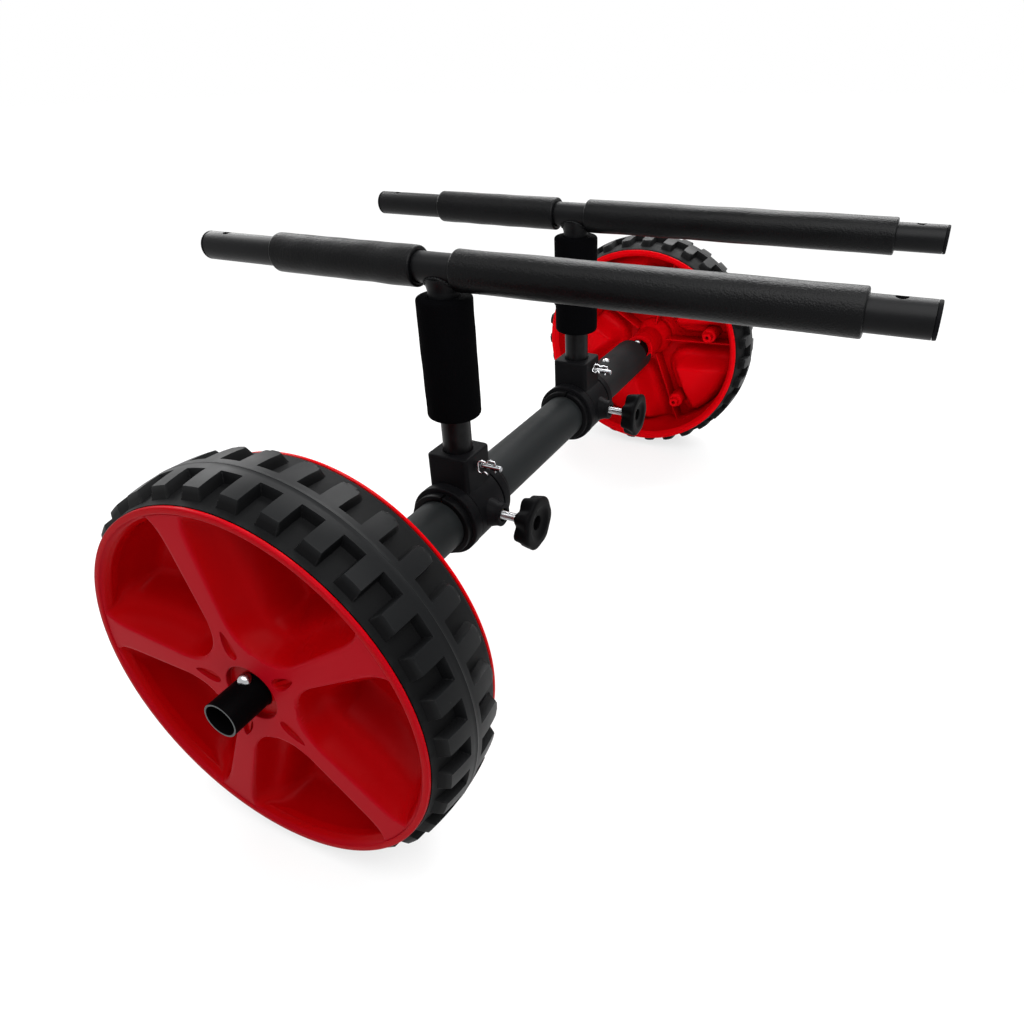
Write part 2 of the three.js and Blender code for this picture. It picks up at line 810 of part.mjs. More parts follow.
// A plastic end cap whose plug fits the tube bore
function endCap(place, direction) {
  const plugRadius = bunkRadius - bunkWall - fitClearance;
  const joint = place - direction * capFlange;
  const plugEnd = joint - direction * capPlugLength;
  const outline = [
    [0, plugEnd],
    [plugRadius, plugEnd],
    [plugRadius, joint],
    [bunkRadius, joint],
    [bunkRadius, place - direction * capFlangeRound],
    [bunkRadius - capFlangeRound, place],
    [0, place],
  ];
  return toGeometry(toSolid(revolve(outline, capSides, 'x'))).translate(0, 0, bunkHeight);
}

function bunkFoam(start, end) {
  const bore = bunkRadius + fitClearance;
  const sleeve = roundedSleeve(bore, bunkFoamRadius, start, end, bunkFoamEdgeRound, 'x');
  return sleeve.translate(0, 0, bunkHeight);
}

function addWheel(parent, side) {
  addMesh(parent, `wheel_hub_${side}`, hub(), materials.wheel);
  addMesh(parent, `tyre_${side}`, tyre(), materials.rubber);
}

// Stub tube, plug, spring buttons and their springs, towards +Y
function addAxleEnd(parent, side, lockTurn) {
  addMesh(parent, `axle_plug_${side}`, plug(lockTurn), materials.plastic);
  addMesh(parent, `stub_tube_${side}`, stub(lockTurn), materials.tube);
  const buttons = [
    ['lock', lockY, axleRadius, 1, lockTurn],
    ['stop', stopY, stubRadius, -1, 0],
    ['retainer', retainerY, stubRadius, -1, 0],
  ];
  for (const [role, y, surface, direction, turn] of buttons) {
    const button = springButton(y, surface).rotateY(turn);
    const spring = buttonSpring(y, direction).rotateY(turn);
    addMesh(parent, `${role}_button_${side}`, button, materials.steel);
    addMesh(parent, `${role}_spring_${side}`, spring, materials.steel);
  }
}

function addBunk(parent, side, clipTurn) {
  addMesh(parent, `collar_liner_${side}`, liner(), materials.plastic);
  addMesh(parent, `clamp_collar_${side}`, collar(), materials.plastic);
  addMesh(parent, `screw_insert_${side}`, screwInsert(), materials.brass);
  addMesh(parent, `clamp_screw_${side}`, clampScrew(), materials.steel);
  addMesh(parent, `star_knob_${side}`, knob(), materials.plastic);
  const hitch = new THREE.Group();
  hitch.position.z = hitchHeight;
  hitch.rotation.x = clipTurn;
  parent.add(hitch);
  addMesh(hitch, `hitch_pin_${side}`, hitchPin(), materials.steel);
  addMesh(hitch, `hitch_clip_${side}`, hitchClip(), materials.steel);
  addMesh(parent, `upright_tube_${side}`, upright(), materials.tube);
  const foamBore = uprightRadius + fitClearance;
  const pad = roundedSleeve(foamBore, uprightFoamRadius, uprightFoamStart, uprightFoamEnd,
    foamEdgeRound, 'z');
  addMesh(parent, `upright_foam_${side}`, pad, materials.foam);
  addMesh(parent, `bunk_tube_${side}`, bunkTube(), materials.tube);
  addMesh(parent, `bunk_foam_short_${side}`, bunkFoam(shortFoamStart, shortFoamEnd), materials.foam);
  addMesh(parent, `bunk_foam_long_${side}`, bunkFoam(longFoamStart, longFoamEnd), materials.foam);
  addMesh(parent, `end_cap_back_${side}`, endCap(-bunkBack, -1), materials.plastic);
  addMesh(parent, `end_cap_front_${side}`, endCap(bunkFront, 1), materials.plastic);
}

const cart = new THREE.Group();
cart.position.set(-bunkMiddle, 0, floorToAxle);

addMesh(cart, 'axle_tube', axleTube(), materials.tube);

const ends = [['near', Math.PI, nearLockTurn], ['far', 0, farLockTurn]];
for (const [side, turn, lockTurn] of ends) {
  const axleSide = new THREE.Group();
  axleSide.rotation.z = turn;
  cart.add(axleSide);
  addAxleEnd(axleSide, side, lockTurn);
  const wheel = new THREE.Group();
  wheel.rotation.z = turn + Math.PI;
  wheel.position.y = side === 'near' ? -wheelCentre : wheelCentre;
  cart.add(wheel);
  addWheel(wheel, side);
}

const bunks = [['near', nearBunkY, nearClipTurn], ['far', farBunkY, farClipTurn]];
for (const [side, y, clipTurn] of bunks) {
  const bunk = new THREE.Group();
  bunk.position.y = y;
  cart.add(bunk);
  addBunk(bunk, side, clipTurn);
}

export default cart;
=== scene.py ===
"""Kayak cart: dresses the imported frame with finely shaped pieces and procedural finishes.

Shapes are worked out in millimetres about the axle's middle (+X along the bunks,
+Y along the axle, +Z up) and written into each mesh in metres in the frame's own axes.
"""

import logging
from dataclasses import dataclass, field
from enum import Enum

import bmesh
import bpy
import numpy as np
from bpy.types import Material, Mesh, Node, NodeSocket, NodeTree, Object
from mathutils import Matrix, Vector


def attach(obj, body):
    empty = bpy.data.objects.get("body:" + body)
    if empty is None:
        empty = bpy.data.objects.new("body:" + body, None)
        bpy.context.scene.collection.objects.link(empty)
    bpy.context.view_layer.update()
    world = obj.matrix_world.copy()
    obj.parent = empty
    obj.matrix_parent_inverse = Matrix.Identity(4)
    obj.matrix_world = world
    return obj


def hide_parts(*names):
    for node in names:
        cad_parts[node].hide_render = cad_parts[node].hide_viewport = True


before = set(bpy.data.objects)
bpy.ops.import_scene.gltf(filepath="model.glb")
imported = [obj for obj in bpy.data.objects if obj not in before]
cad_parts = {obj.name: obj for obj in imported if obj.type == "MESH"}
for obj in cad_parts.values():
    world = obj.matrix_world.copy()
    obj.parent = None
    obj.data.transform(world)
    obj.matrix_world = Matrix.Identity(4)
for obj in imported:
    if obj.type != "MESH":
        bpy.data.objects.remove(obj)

LOG = logging.getLogger("kayak_cart")
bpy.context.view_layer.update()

MM = 0.001
FLOOR_TO_AXLE = 145.0
BUNK_MIDDLE = 53.0
AXLE_MIDDLE = np.array([-BUNK_MIDDLE, 0.0, FLOOR_TO_AXLE])
FULL_TURN = 2 * np.pi
# Three numbers: a corner's radius, place and rounding, a colour or a place
Triple = tuple[float, float, float]
# The most of a straight stretch that one rounding may take
ROUNDING_SHARE = 0.49
# A direction that no swept path here starts along
OBLIQUE = (0.3, 0.5, 0.81)
# How far a drill reaches past the wall that it goes through
DRILL_OVERRUN = 4.0
# Points closer than this are one, and edges shorter than the second length go
MERGE_DISTANCE = 0.002
SLIVER_LENGTH = 0.0005
# Gain from the bend at an edge to its wear
EDGE_GAIN = 4


class Side(Enum):
    """The two sides of the cart, with the sign of their place along the axle."""

    NEAR = -1
    FAR = 1

    @property
    def word(self) -> str:
        """The side's word in the frame's node names."""
        return self.name.lower()

    @property
    def turn(self) -> float:
        """Half a turn about the upright line for what is drawn towards +Y."""
        return np.pi if self is Side.NEAR else 0.0


class Along(Enum):
    """The line that a turned shape stands on."""

    X = "x"
    Y = "y"
    Z = "z"


# Surfaces


@dataclass
class Surface:
    """Points in millimetres and the faces between them."""

    points: np.ndarray
    faces: list[list[int]]

    @staticmethod
    def from_grid(grid: np.ndarray, round_u: bool = True, round_v: bool = True) -> "Surface":
        """Joins a grid of points with four-sided faces.

        Args:
            grid: points of shape (u, v, 3).
            round_u: whether the last column meets the first.
            round_v: whether the last row meets the first.

        Returns:
            The surface, with one face for each cell of the grid.
        """
        count_u, count_v = grid.shape[:2]
        u = np.arange(count_u if round_u else count_u - 1)[:, None]
        v = np.arange(count_v if round_v else count_v - 1)[None, :]
        next_u, next_v = (u + 1) % count_u, (v + 1) % count_v
        corners = [u * count_v + v, next_u * count_v + v, next_u * count_v + next_v, u * count_v + next_v]
        faces = np.stack(np.broadcast_arrays(*corners), axis=-1).reshape(-1, 4)
        return Surface(grid.reshape(-1, 3).astype(float), faces.tolist())

    def turned(self, axis: Along, angle: float) -> "Surface":
        """Turns the surface about one of the frame's lines through the middle.

        Args:
            axis: the line.
            angle: the turn in radians.

        Returns:
            The turned copy.
        """
        c, s = np.cos(angle), np.sin(angle)
        matrices = {
            Along.X: [[1, 0, 0], [0, c, -s], [0, s, c]],
            Along.Y: [[c, 0, s], [0, 1, 0], [-s, 0, c]],
            Along.Z: [[c, -s, 0], [s, c, 0], [0, 0, 1]],
        }
        return Surface(self.points @ np.array(matrices[axis]).T, self.faces)

    def moved(self, x: float = 0.0, y: float = 0.0, z: float = 0.0) -> "Surface":
        """The same surface at another place."""
        return Surface(self.points + np.array([x, y, z]), self.faces)

    def with_other(self, *others: "Surface") -> "Surface":
        """Joins this surface and others.

        Args:
            others: the surfaces to add.

        Returns:
            All of them as one surface.
        """
        points, faces = [self.points], list(self.faces)
        start = len(self.points)
        for other in others:
            points.append(other.points)
            faces += [[i + start for i in face] for face in other.faces]
            start += len(other.points)
        return Surface(np.concatenate(points), faces)


def smooth_step(share: np.ndarray) -> np.ndarray:
    """Rises from 0 to 1 with level ends: 3 s squared less 2 s cubed."""
    s = np.clip(share, 0.0, 1.0)
    return s * s * (3 - 2 * s)


def spaced(limits: tuple[float, ...], parts: tuple[int, ...]) -> np.ndarray:
    """Steps evenly between each two of several limits.

    Args:
        limits: the places between which the step changes.
        parts: number of steps from each limit to the next.

    Returns:
        The places from the first limit to the last.
    """
    runs = [np.linspace(a, b, count + 1)[:-1] for a, b, count in zip(limits, limits[1:], parts)]
    return np.concatenate([*runs, limits[-1:]])


def mirrored(corners: list[Triple]) -> list[Triple]:
    """An outline's corners followed by their mirror images at the other end."""
    return [*corners, *((radius, -place, rounding) for radius, place, rounding in reversed(corners))]


def softened(corners: list[Triple], closed: bool, steps: int = 4) -> np.ndarray:
    """Rounds the corners of an outline.

    Each corner with a radius becomes a curve between the points one radius before and
    after it, drawn as a second-degree curve that has the corner as its middle control.

    Args:
        corners: (radius from the line, place along it, rounding) of each corner.
        closed: whether the last corner joins the first.
        steps: number of parts of each rounding.

    Returns:
        Outline points of shape (n, 2).
    """
    places = np.array([c[:2] for c in corners], float)
    before, after = np.roll(places, 1, axis=0), np.roll(places, -1, axis=0)
    t = np.linspace(0, 1, steps + 1)[:, None]
    outline = []
    for i, (_, _, rounding) in enumerate(corners):
        ends = not closed and i in (0, len(corners) - 1)
        if rounding <= 0 or ends:
            outline.append(places[i][None])
            continue
        arms = [other - places[i] for other in (before[i], after[i])]
        lengths = [np.linalg.norm(arm) for arm in arms]
        tips = [
            places[i] + arm / length * min(rounding, ROUNDING_SHARE * length)
            for arm, length in zip(arms, lengths)
        ]
        outline.append((1 - t) ** 2 * tips[0] + 2 * t * (1 - t) * places[i] + t**2 * tips[1])
    return np.concatenate(outline)


def on_line(radius: np.ndarray, place: np.ndarray, angle: np.ndarray, axis: Along) -> np.ndarray:
    """Sets points out about a line: radius times cosine and sine of the angle.

    Args:
        radius: distances from the line.
        place: places along the line.
        angle: angles about the line.
        axis: the line.

    Returns:
        Places of shape (..., 3), where the three arrays are spread to one shape.
    """
    a, b, c = np.broadcast_arrays(radius * np.cos(angle), radius * np.sin(angle), place)
    order = {Along.X: (c, a, b), Along.Y: (a, c, b), Along.Z: (a, b, c)}
    return np.stack(order[axis], axis=-1)


def turned_shape(
    corners: list[Triple], axis: Along, sides: int = 72, closed: bool = True, steps: int = 4
) -> Surface:
    """A rounded outline turned about a line.

    Args:
        corners: corners for softened().
        axis: the line.
        sides: columns round the line.
        closed: whether the outline is a ring, or runs from pole to pole.
        steps: parts of each rounding.

    Returns:
        A closed surface.
    """
    outline = softened(corners, closed, steps)
    angle = np.linspace(0, FULL_TURN, sides, endpoint=False)[:, None]
    return Surface.from_grid(on_line(outline[None, :, 0], outline[None, :, 1], angle, axis), True, closed)


def tube_shape(
    bore: float, radius: float, start: float, end: float, axis: Along, sides: int = 72, rounding: float = 0.4
) -> Surface:
    """A tube wall from bore to outer radius between two places on a line, its four edges rounded."""
    corners = [(bore, start), (radius, start), (radius, end), (bore, end)]
    return turned_shape([(*corner, rounding) for corner in corners], axis, sides)


def swept(path: np.ndarray, radius: np.ndarray, sides: int, closed: bool = False) -> Surface:
    """A round section carried along a path.

    The section's frame is carried from point to point without twist: each side vector
    is the last one less its part along the new direction.

    Args:
        path: places of shape (n, 3).
        radius: section radius at each place.
        sides: corners of the section.
        closed: whether the path is a ring.

    Returns:
        The surface, with its ends drawn together where the path is open.
    """
    if closed:
        ahead = np.roll(path, -1, axis=0) - np.roll(path, 1, axis=0)
    else:
        ahead = np.gradient(path, axis=0)
    ahead /= np.linalg.norm(ahead, axis=1, keepdims=True)
    side = np.zeros_like(path)
    last = np.cross(ahead[0], OBLIQUE)
    for i, direction in enumerate(ahead):
        last = last - direction * (last @ direction)
        last = last / np.linalg.norm(last)
        side[i] = last
    up = np.cross(ahead, side)
    angle = np.linspace(0, FULL_TURN, sides, endpoint=False)[None, :, None]
    ring = np.cos(angle) * side[:, None] + np.sin(angle) * up[:, None]
    return Surface.from_grid(path[:, None] + ring * radius[:, None, None], closed, True)


def eased_path(places: np.ndarray, steps: int) -> np.ndarray:
    """A smooth line through places.

    Between each two places runs a third-degree curve whose slope at a place is half
    the step from the place before to the place after.

    Args:
        places: points of shape (n, 3).
        steps: parts between two places.

    Returns:
        Points of shape ((n - 1) * steps + 1, 3).
    """
    slopes = np.gradient(places, axis=0)
    t = np.linspace(0, 1, steps, endpoint=False)[None, :, None]
    a, b = places[:-1, None], places[1:, None]
    slope_a, slope_b = slopes[:-1, None], slopes[1:, None]
    line = (2 * t**3 - 3 * t**2 + 1) * a + (t**3 - 2 * t**2 + t) * slope_a
    line = line + (3 * t**2 - 2 * t**3) * b + (t**3 - t**2) * slope_b
    return np.concatenate([line.reshape(-1, 3), places[-1:]])


# Finishes


class Sheet:
    """A node tree that is filled from the code, one node at a time."""

    def __init__(self, tree: NodeTree) -> None:
        """Takes an empty tree."""
        self.tree = tree

    def add(self, kind: str, settings: dict | None = None, **inputs: object) -> Node:
        """Adds one node.

        Args:
            kind: the node's type name.
            settings: properties of the node.
            inputs: values or output sockets for the inputs, named with _ for a space.

        Returns:
            The node.
        """
        node = self.tree.nodes.new(kind)
        for name, value in (settings or {}).items():
            setattr(node, name, value)
        for name, value in inputs.items():
            self.plug(node, name.replace("_", " "), value)
        return node

    def plug(self, node: Node, name: str | int, value: object) -> None:
        """Sets one input to a value or joins it to an output socket.

        Args:
            node: the node.
            name: the input's name or number.
            value: a value, a socket, or None to leave the input as it is.
        """
        socket = node.inputs[name]
        if isinstance(value, NodeSocket):
            self.tree.links.new(value, socket)
        elif value is not None:
            socket.default_value = value

    def maths(self, operation: str, *values: object, clamp: bool = False) -> NodeSocket:
        """Adds one step of arithmetic.

        Args:
            operation: the step's name.
            values: numbers or output sockets.
            clamp: whether the result is held between 0 and 1.

        Returns:
            The result as an output socket.
        """
        node = self.add("ShaderNodeMath", {"operation": operation, "use_clamp": clamp})
        for i, value in enumerate(values):
            self.plug(node, i, value)
        return node.outputs[0]

    def ramp(
        self, value: object, low: float, high: float, to_low: float = 0.0, to_high: float = 1.0
    ) -> NodeSocket:
        """A value moved from one range to another, held at its ends."""
        limits = {"From_Min": low, "From_Max": high, "To_Min": to_low, "To_Max": to_high}
        return self.add("ShaderNodeMapRange", Value=value, **limits).outputs[0]

    def noise(
        self, where: object, scale: object, detail: float, roughness: float | None = None
    ) -> NodeSocket:
        """A noise pattern's value at a place."""
        settings = {"Scale": scale, "Detail": detail, "Roughness": roughness}
        return self.add("ShaderNodeTexNoise", Vector=where, **settings).outputs[0]

    def blend(self, factor: object, first: object, second: object) -> NodeSocket:
        """Mixes two colours.

        Args:
            factor: share of the second colour.
            first: the colour at 0.
            second: the colour at 1.

        Returns:
            The mixed colour as an output socket.
        """
        node = self.add("ShaderNodeMix", {"data_type": "RGBA"})
        for index, value in ((0, factor), (6, first), (7, second)):
            self.plug(node, index, value)
        return node.outputs[2]


def group_sheet(
    name: str, takes: dict[str, tuple[str, object]], gives: dict[str, str]
) -> tuple[NodeTree, Sheet, Node, Node]:
    """Starts a node group.

    Args:
        name: the group's name.
        takes: input names with their socket type and default.
        gives: output names with their socket type.

    Returns:
        The group, its sheet, its input node and its output node.
    """
    group = bpy.data.node_groups.new(name, "ShaderNodeTree")
    for label, (kind, default) in takes.items():
        socket = group.interface.new_socket(label, in_out="INPUT", socket_type=kind)
        if default is not None:
            socket.default_value = default
    for label, kind in gives.items():
        group.interface.new_socket(label, in_out="OUTPUT", socket_type=kind)
    sheet = Sheet(group)
    return group, sheet, sheet.add("NodeGroupInput"), sheet.add("NodeGroupOutput")


FLOAT, VECTOR, COLOUR = "NodeSocketFloat", "NodeSocketVector", "NodeSocketColor"


def surface_grain_group() -> NodeTree:
    """Fine height grain: a coarse and a fine noise added, for moulded and coated skins.

    Returns:
        The group.
    """
    takes = {
        "Vector": (VECTOR, None),
        "Coarse Scale": (FLOAT, 300.0),
        "Fine Scale": (FLOAT, 1500.0),
        "Fine Share": (FLOAT, 0.5),
    }
    group, sheet, given, out = group_sheet("Surface grain", takes, {"Height": FLOAT})
    where = given.outputs["Vector"]
    coarse = sheet.noise(where, given.outputs["Coarse Scale"], 2.0)
    fine = sheet.noise(where, given.outputs["Fine Scale"], 3.0)
    added = sheet.maths("MULTIPLY", fine, given.outputs["Fine Share"])
    sheet.plug(out, "Height", sheet.maths("ADD", coarse, added))
    return group


def tone_drift_group() -> NodeTree:
    """Slow colour drift between two tones over the piece.

    Returns:
        The group.
    """
    takes = {
        "Vector": (VECTOR, None),
        "Scale": (FLOAT, 14.0),
        "Tone A": (COLOUR, None),
        "Tone B": (COLOUR, None),
    }
    group, sheet, given, out = group_sheet("Tone drift", takes, {"Color": COLOUR, "Drift": FLOAT})
    slow = sheet.noise(given.outputs["Vector"], given.outputs["Scale"], 4.0, 0.6)
    drift = sheet.ramp(slow, 0.35, 0.65)
    sheet.plug(out, "Color", sheet.blend(drift, given.outputs["Tone A"], given.outputs["Tone B"]))
    sheet.plug(out, "Drift", drift)
    return group


def edge_rub_group() -> NodeTree:
    """Wear on outer edges: the piece's edge attribute broken up by noise.

    Returns:
        The group.
    """
    takes = {"Vector": (VECTOR, None), "Amount": (FLOAT, 0.5), "Scale": (FLOAT, 120.0)}
    group, sheet, given, out = group_sheet("Edge rub", takes, {"Mask": FLOAT})
    edge = sheet.add("ShaderNodeAttribute", {"attribute_name": "edge"})
    noise = sheet.noise(given.outputs["Vector"], given.outputs["Scale"], 5.0)
    broken = sheet.maths("MULTIPLY", edge.outputs["Fac"], sheet.ramp(noise, 0.4, 0.7))
    sheet.plug(out, "Mask", sheet.maths("MULTIPLY", broken, given.outputs["Amount"], clamp=True))
    return group


def dust_speck_group() -> NodeTree:
    """Sparse pale specks of dust: the middles of a few cells of a cell pattern.

    Returns:
        The group.
    """
    takes = {"Vector": (VECTOR, None), "Scale": (FLOAT, 160.0), "Share": (FLOAT, 0.03)}
    group, sheet, given, out = group_sheet("Dust specks", takes, {"Mask": FLOAT})
    where, scale = given.outputs["Vector"], given.outputs["Scale"]
    cells = sheet.add("ShaderNodeTexVoronoi", Vector=where, Scale=scale)
    middle = sheet.ramp(cells.outputs["Distance"], 0.07, 0.14, 1.0, 0.0)
    tint = sheet.add("ShaderNodeSeparateColor", Color=cells.outputs["Color"])
    chosen = sheet.maths("LESS_THAN", tint.outputs[0], given.outputs["Share"])
    sheet.plug(out, "Mask", sheet.maths("MULTIPLY", middle, chosen))
    return group


def foam_cell_group() -> NodeTree:
    """Height of closed-cell foam: small domed cells with shallow dimples among them.

    Returns:
        The group.
    """
    takes = {"Vector": (VECTOR, None), "Cell Scale": (FLOAT, 900.0), "Dimple Scale": (FLOAT, 260.0)}
    group, sheet, given, out = group_sheet("Foam cells", takes, {"Height": FLOAT})
    where = given.outputs["Vector"]
    cells = sheet.add("ShaderNodeTexVoronoi", Vector=where, Scale=given.outputs["Cell Scale"])
    dimples = sheet.noise(where, given.outputs["Dimple Scale"], 3.0)
    domed = sheet.maths("MULTIPLY", cells.outputs["Distance"], -0.6)
    sheet.plug(out, "Height", sheet.maths("ADD", domed, dimples))
    return group


class Groups:
    """The shared node groups, each built once when first asked for."""

    makers = {
        "grain": surface_grain_group,
        "drift": tone_drift_group,
        "rub": edge_rub_group,
        "specks": dust_speck_group,
        "cells": foam_cell_group,
    }
    made: dict[str, NodeTree] = {}

    @classmethod
    def place(cls, sheet: Sheet, name: str, **inputs: object) -> Node:
        """Puts one shared group into a sheet with its own values.

        Args:
            sheet: the sheet.
            name: the group's word in makers.
            inputs: values or sockets for the group's inputs, named with _ for a space.

        Returns:
            The group's node.
        """
        if name not in cls.made:
            cls.made[name] = cls.makers[name]()
        node = sheet.add("ShaderNodeGroup", {"node_tree": cls.made[name]})
        for label, value in inputs.items():
            sheet.plug(node, label.replace("_", " "), value)
        return node


@dataclass(frozen=True)
class Finish:
    """What every finish has: two tones, a roughness range and a grain.

    Colours are linear. Grain sizes are given as noise scales on metres. A face tone
    and the change of roughness beside it go where a piece's flat_face value is 1; on the
    hub that tone is a painted sheen, and on the tyre it is painted light on the lug tops
    that leaves painted shade in the pockets. A back tone of painted light brightens the
    faces that a piece marks as turned to the cart's middle.
    """

    name: str
    slot: str
    tone_a: Triple
    tone_b: Triple
    rough_low: float
    rough_high: float
    metallic: float = 0.0
    specular: float = 0.5
    drift_scale: float = 14.0
    grain_coarse: float = 300.0
    grain_fine: float = 1500.0
    grain_share: float = 0.5
    bump_mm: float = 0.05
    bump_strength: float = 0.3
    rub: float = 0.0
    rub_tone: Triple = (0.1, 0.1, 0.1)
    specks: float = 0.0
    speck_scale: float = 160.0
    speck_tone: Triple = (0.35, 0.35, 0.35)
    cells: bool = False
    matte_faces: float = 0.0
    face_and_painted_light_tone: Triple | None = None
    painted_back_light_tone: Triple | None = None

    def material(self) -> Material:
        """Builds the finish as a material, once.

        Returns:
            The material.
        """
        found = bpy.data.materials.get(self.name)
        if found:
            return found
        material = bpy.data.materials.new(self.name)
        material.use_nodes = True
        material.node_tree.nodes.clear()
        material.diffuse_color = (*self.tone_a, 1)
        self.fill(Sheet(material.node_tree))
        return material

    def fill(self, sheet: Sheet) -> None:
        """Lays out colour, roughness and bump and joins them to the shader.

        Args:
            sheet: the material's empty sheet.
        """
        where = sheet.add("ShaderNodeTexCoord").outputs["Object"]
        tones = {"Tone_A": (*self.tone_a, 1), "Tone_B": (*self.tone_b, 1)}
        drift = Groups.place(sheet, "drift", Vector=where, Scale=self.drift_scale, **tones)
        colour = drift.outputs["Color"]
        rough = sheet.ramp(drift.outputs["Drift"], 0.0, 1.0, self.rough_low, self.rough_high)
        # Painted light: the back tone brightens faces turned to the cart's middle
        if self.painted_back_light_tone is not None:
            back_light_share = sheet.add("ShaderNodeAttribute", {"attribute_name": "painted_back_light"}).outputs["Fac"]
            colour = sheet.blend(back_light_share, colour, (*self.painted_back_light_tone, 1))
        # On the hub the face tone is a painted sheen; on the tyre it lights the lug tops and leaves painted
        # shade in the pockets
        if self.face_and_painted_light_tone is not None:
            face = sheet.add("ShaderNodeAttribute", {"attribute_name": "flat_face"}).outputs["Fac"]
            colour = sheet.blend(face, colour, (*self.face_and_painted_light_tone, 1))
            rough = sheet.maths("ADD", rough, sheet.maths("MULTIPLY", face, self.matte_faces))
        if self.rub > 0:
            rub = Groups.place(sheet, "rub", Vector=where, Amount=self.rub)
            colour = sheet.blend(rub.outputs["Mask"], colour, (*self.rub_tone, 1))
        if self.specks > 0:
            specks = Groups.place(sheet, "specks", Vector=where, Scale=self.speck_scale, Share=self.specks)
            colour = sheet.blend(specks.outputs["Mask"], colour, (*self.speck_tone, 1))
        height = self.relief(sheet, where).outputs["Height"]
        depth = self.bump_mm * MM
        bump = sheet.add("ShaderNodeBump", Strength=self.bump_strength, Distance=depth, Height=height)
        shader = sheet.add("ShaderNodeBsdfPrincipled", Base_Color=colour, Roughness=rough)
        sheet.plug(shader, "Metallic", self.metallic)
        sheet.plug(shader, "Specular IOR Level", self.specular)
        sheet.plug(shader, "Normal", bump.outputs[0])
        sheet.add("ShaderNodeOutputMaterial", Surface=shader.outputs[0])

    def relief(self, sheet: Sheet, where: NodeSocket) -> Node:
        """Places the group that gives the finish its height pattern.

        Args:
            sheet: the material's sheet.
            where: the coordinates that the pattern reads.

        Returns:
            The group's node.
        """
        if self.cells:
            scales = {"Cell_Scale": self.grain_fine, "Dimple_Scale": self.grain_coarse}
            return Groups.place(sheet, "cells", Vector=where, **scales)
        scales = {"Coarse_Scale": self.grain_coarse, "Fine_Scale": self.grain_fine}
        return Groups.place(sheet, "grain", Vector=where, Fine_Share=self.grain_share, **scales)


COAT_GRAIN = {"grain_coarse": 420.0, "grain_fine": 1700.0, "bump_mm": 0.04, "bump_strength": 0.18}
PLASTIC_GRAIN = {"grain_coarse": 700.0, "grain_fine": 2600.0, "bump_mm": 0.035, "bump_strength": 0.3}
TUBE_COAT = Finish(
    "satin_tube_coat", "black_tube", (0.0016, 0.0017, 0.002), (0.0024, 0.0025, 0.0029), 0.36, 0.44,
    specular=0.1, rub=0.25, rub_tone=(0.016, 0.016, 0.017), **COAT_GRAIN,
)
STUB_COAT = Finish(
    "satin_stub_coat", "black_tube", (0.0012, 0.0011, 0.0013), (0.0018, 0.0016, 0.0019), 0.34, 0.42,
    specular=0.015, face_and_painted_light_tone=(0.075, 0.08, 0.08), **COAT_GRAIN,
)
AXLE_COAT = Finish(
    "satin_axle_coat", "black_tube", (0.0085, 0.0096, 0.01), (0.0105, 0.0118, 0.0124), 0.5, 0.6,
    specular=0.05, grain_coarse=420.0, grain_fine=1700.0, bump_mm=0.05, bump_strength=0.22,
    rub=0.3, rub_tone=(0.03, 0.03, 0.03),
)
CLAMP_PLASTIC = Finish(
    "moulded_clamp_plastic", "black_plastic", (0.0034, 0.0034, 0.0039), (0.0046, 0.0046, 0.0052), 0.42, 0.52,
    specular=0.02, rub=0.35, rub_tone=(0.02, 0.02, 0.022), **PLASTIC_GRAIN,
)
KNOB_PLASTIC = Finish(
    "moulded_knob_plastic", "black_plastic", (0.0013, 0.0013, 0.0015), (0.002, 0.002, 0.0023), 0.42, 0.52,
    specular=0.02, rub=0.25, rub_tone=(0.012, 0.012, 0.013), **PLASTIC_GRAIN,
)
LINER_PLASTIC = Finish(
    "liner_plastic", "black_plastic", (0.002, 0.002, 0.0023), (0.003, 0.003, 0.0034), 0.4, 0.5,
    specular=0.04, grain_coarse=700.0, grain_fine=2600.0, bump_mm=0.03, bump_strength=0.3,
)
BUNK_FOAM = Finish(
    "bunk_foam_skin", "pad_foam", (0.0012, 0.0013, 0.0015), (0.002, 0.0021, 0.0024), 0.32, 0.42,
    specular=0.09, grain_coarse=330.0, grain_fine=800.0, cells=True, bump_mm=0.32, bump_strength=0.75,
)
UPRIGHT_FOAM = Finish(
    "upright_foam_skin", "pad_foam", (0.0009, 0.0009, 0.0011), (0.0013, 0.0013, 0.0016), 0.8, 0.92,
    specular=0.01, grain_coarse=420.0, grain_fine=1500.0, cells=True, bump_mm=0.15, bump_strength=0.6,
)
# Painted light: the face tone paints a paler, pinker sheen on the flat outer faces, and the back tone
# doubles the red on faces turned to the cart's middle
RED_WHEEL = Finish(
    "gloss_red_moulding", "red_wheel", (0.25, 0.0001, 0.0009), (0.27, 0.0002, 0.0014), 0.22, 0.3,
    specular=0.016, grain_coarse=160.0, grain_fine=900.0, grain_share=0.2, bump_mm=0.05, bump_strength=0.08,
    specks=0.0015, speck_scale=120.0, speck_tone=(0.45, 0.1, 0.12), matte_faces=0.12,
    face_and_painted_light_tone=(0.265, 0.002, 0.0065), painted_back_light_tone=(0.5, 0.0005, 0.003), drift_scale=9.0,
)
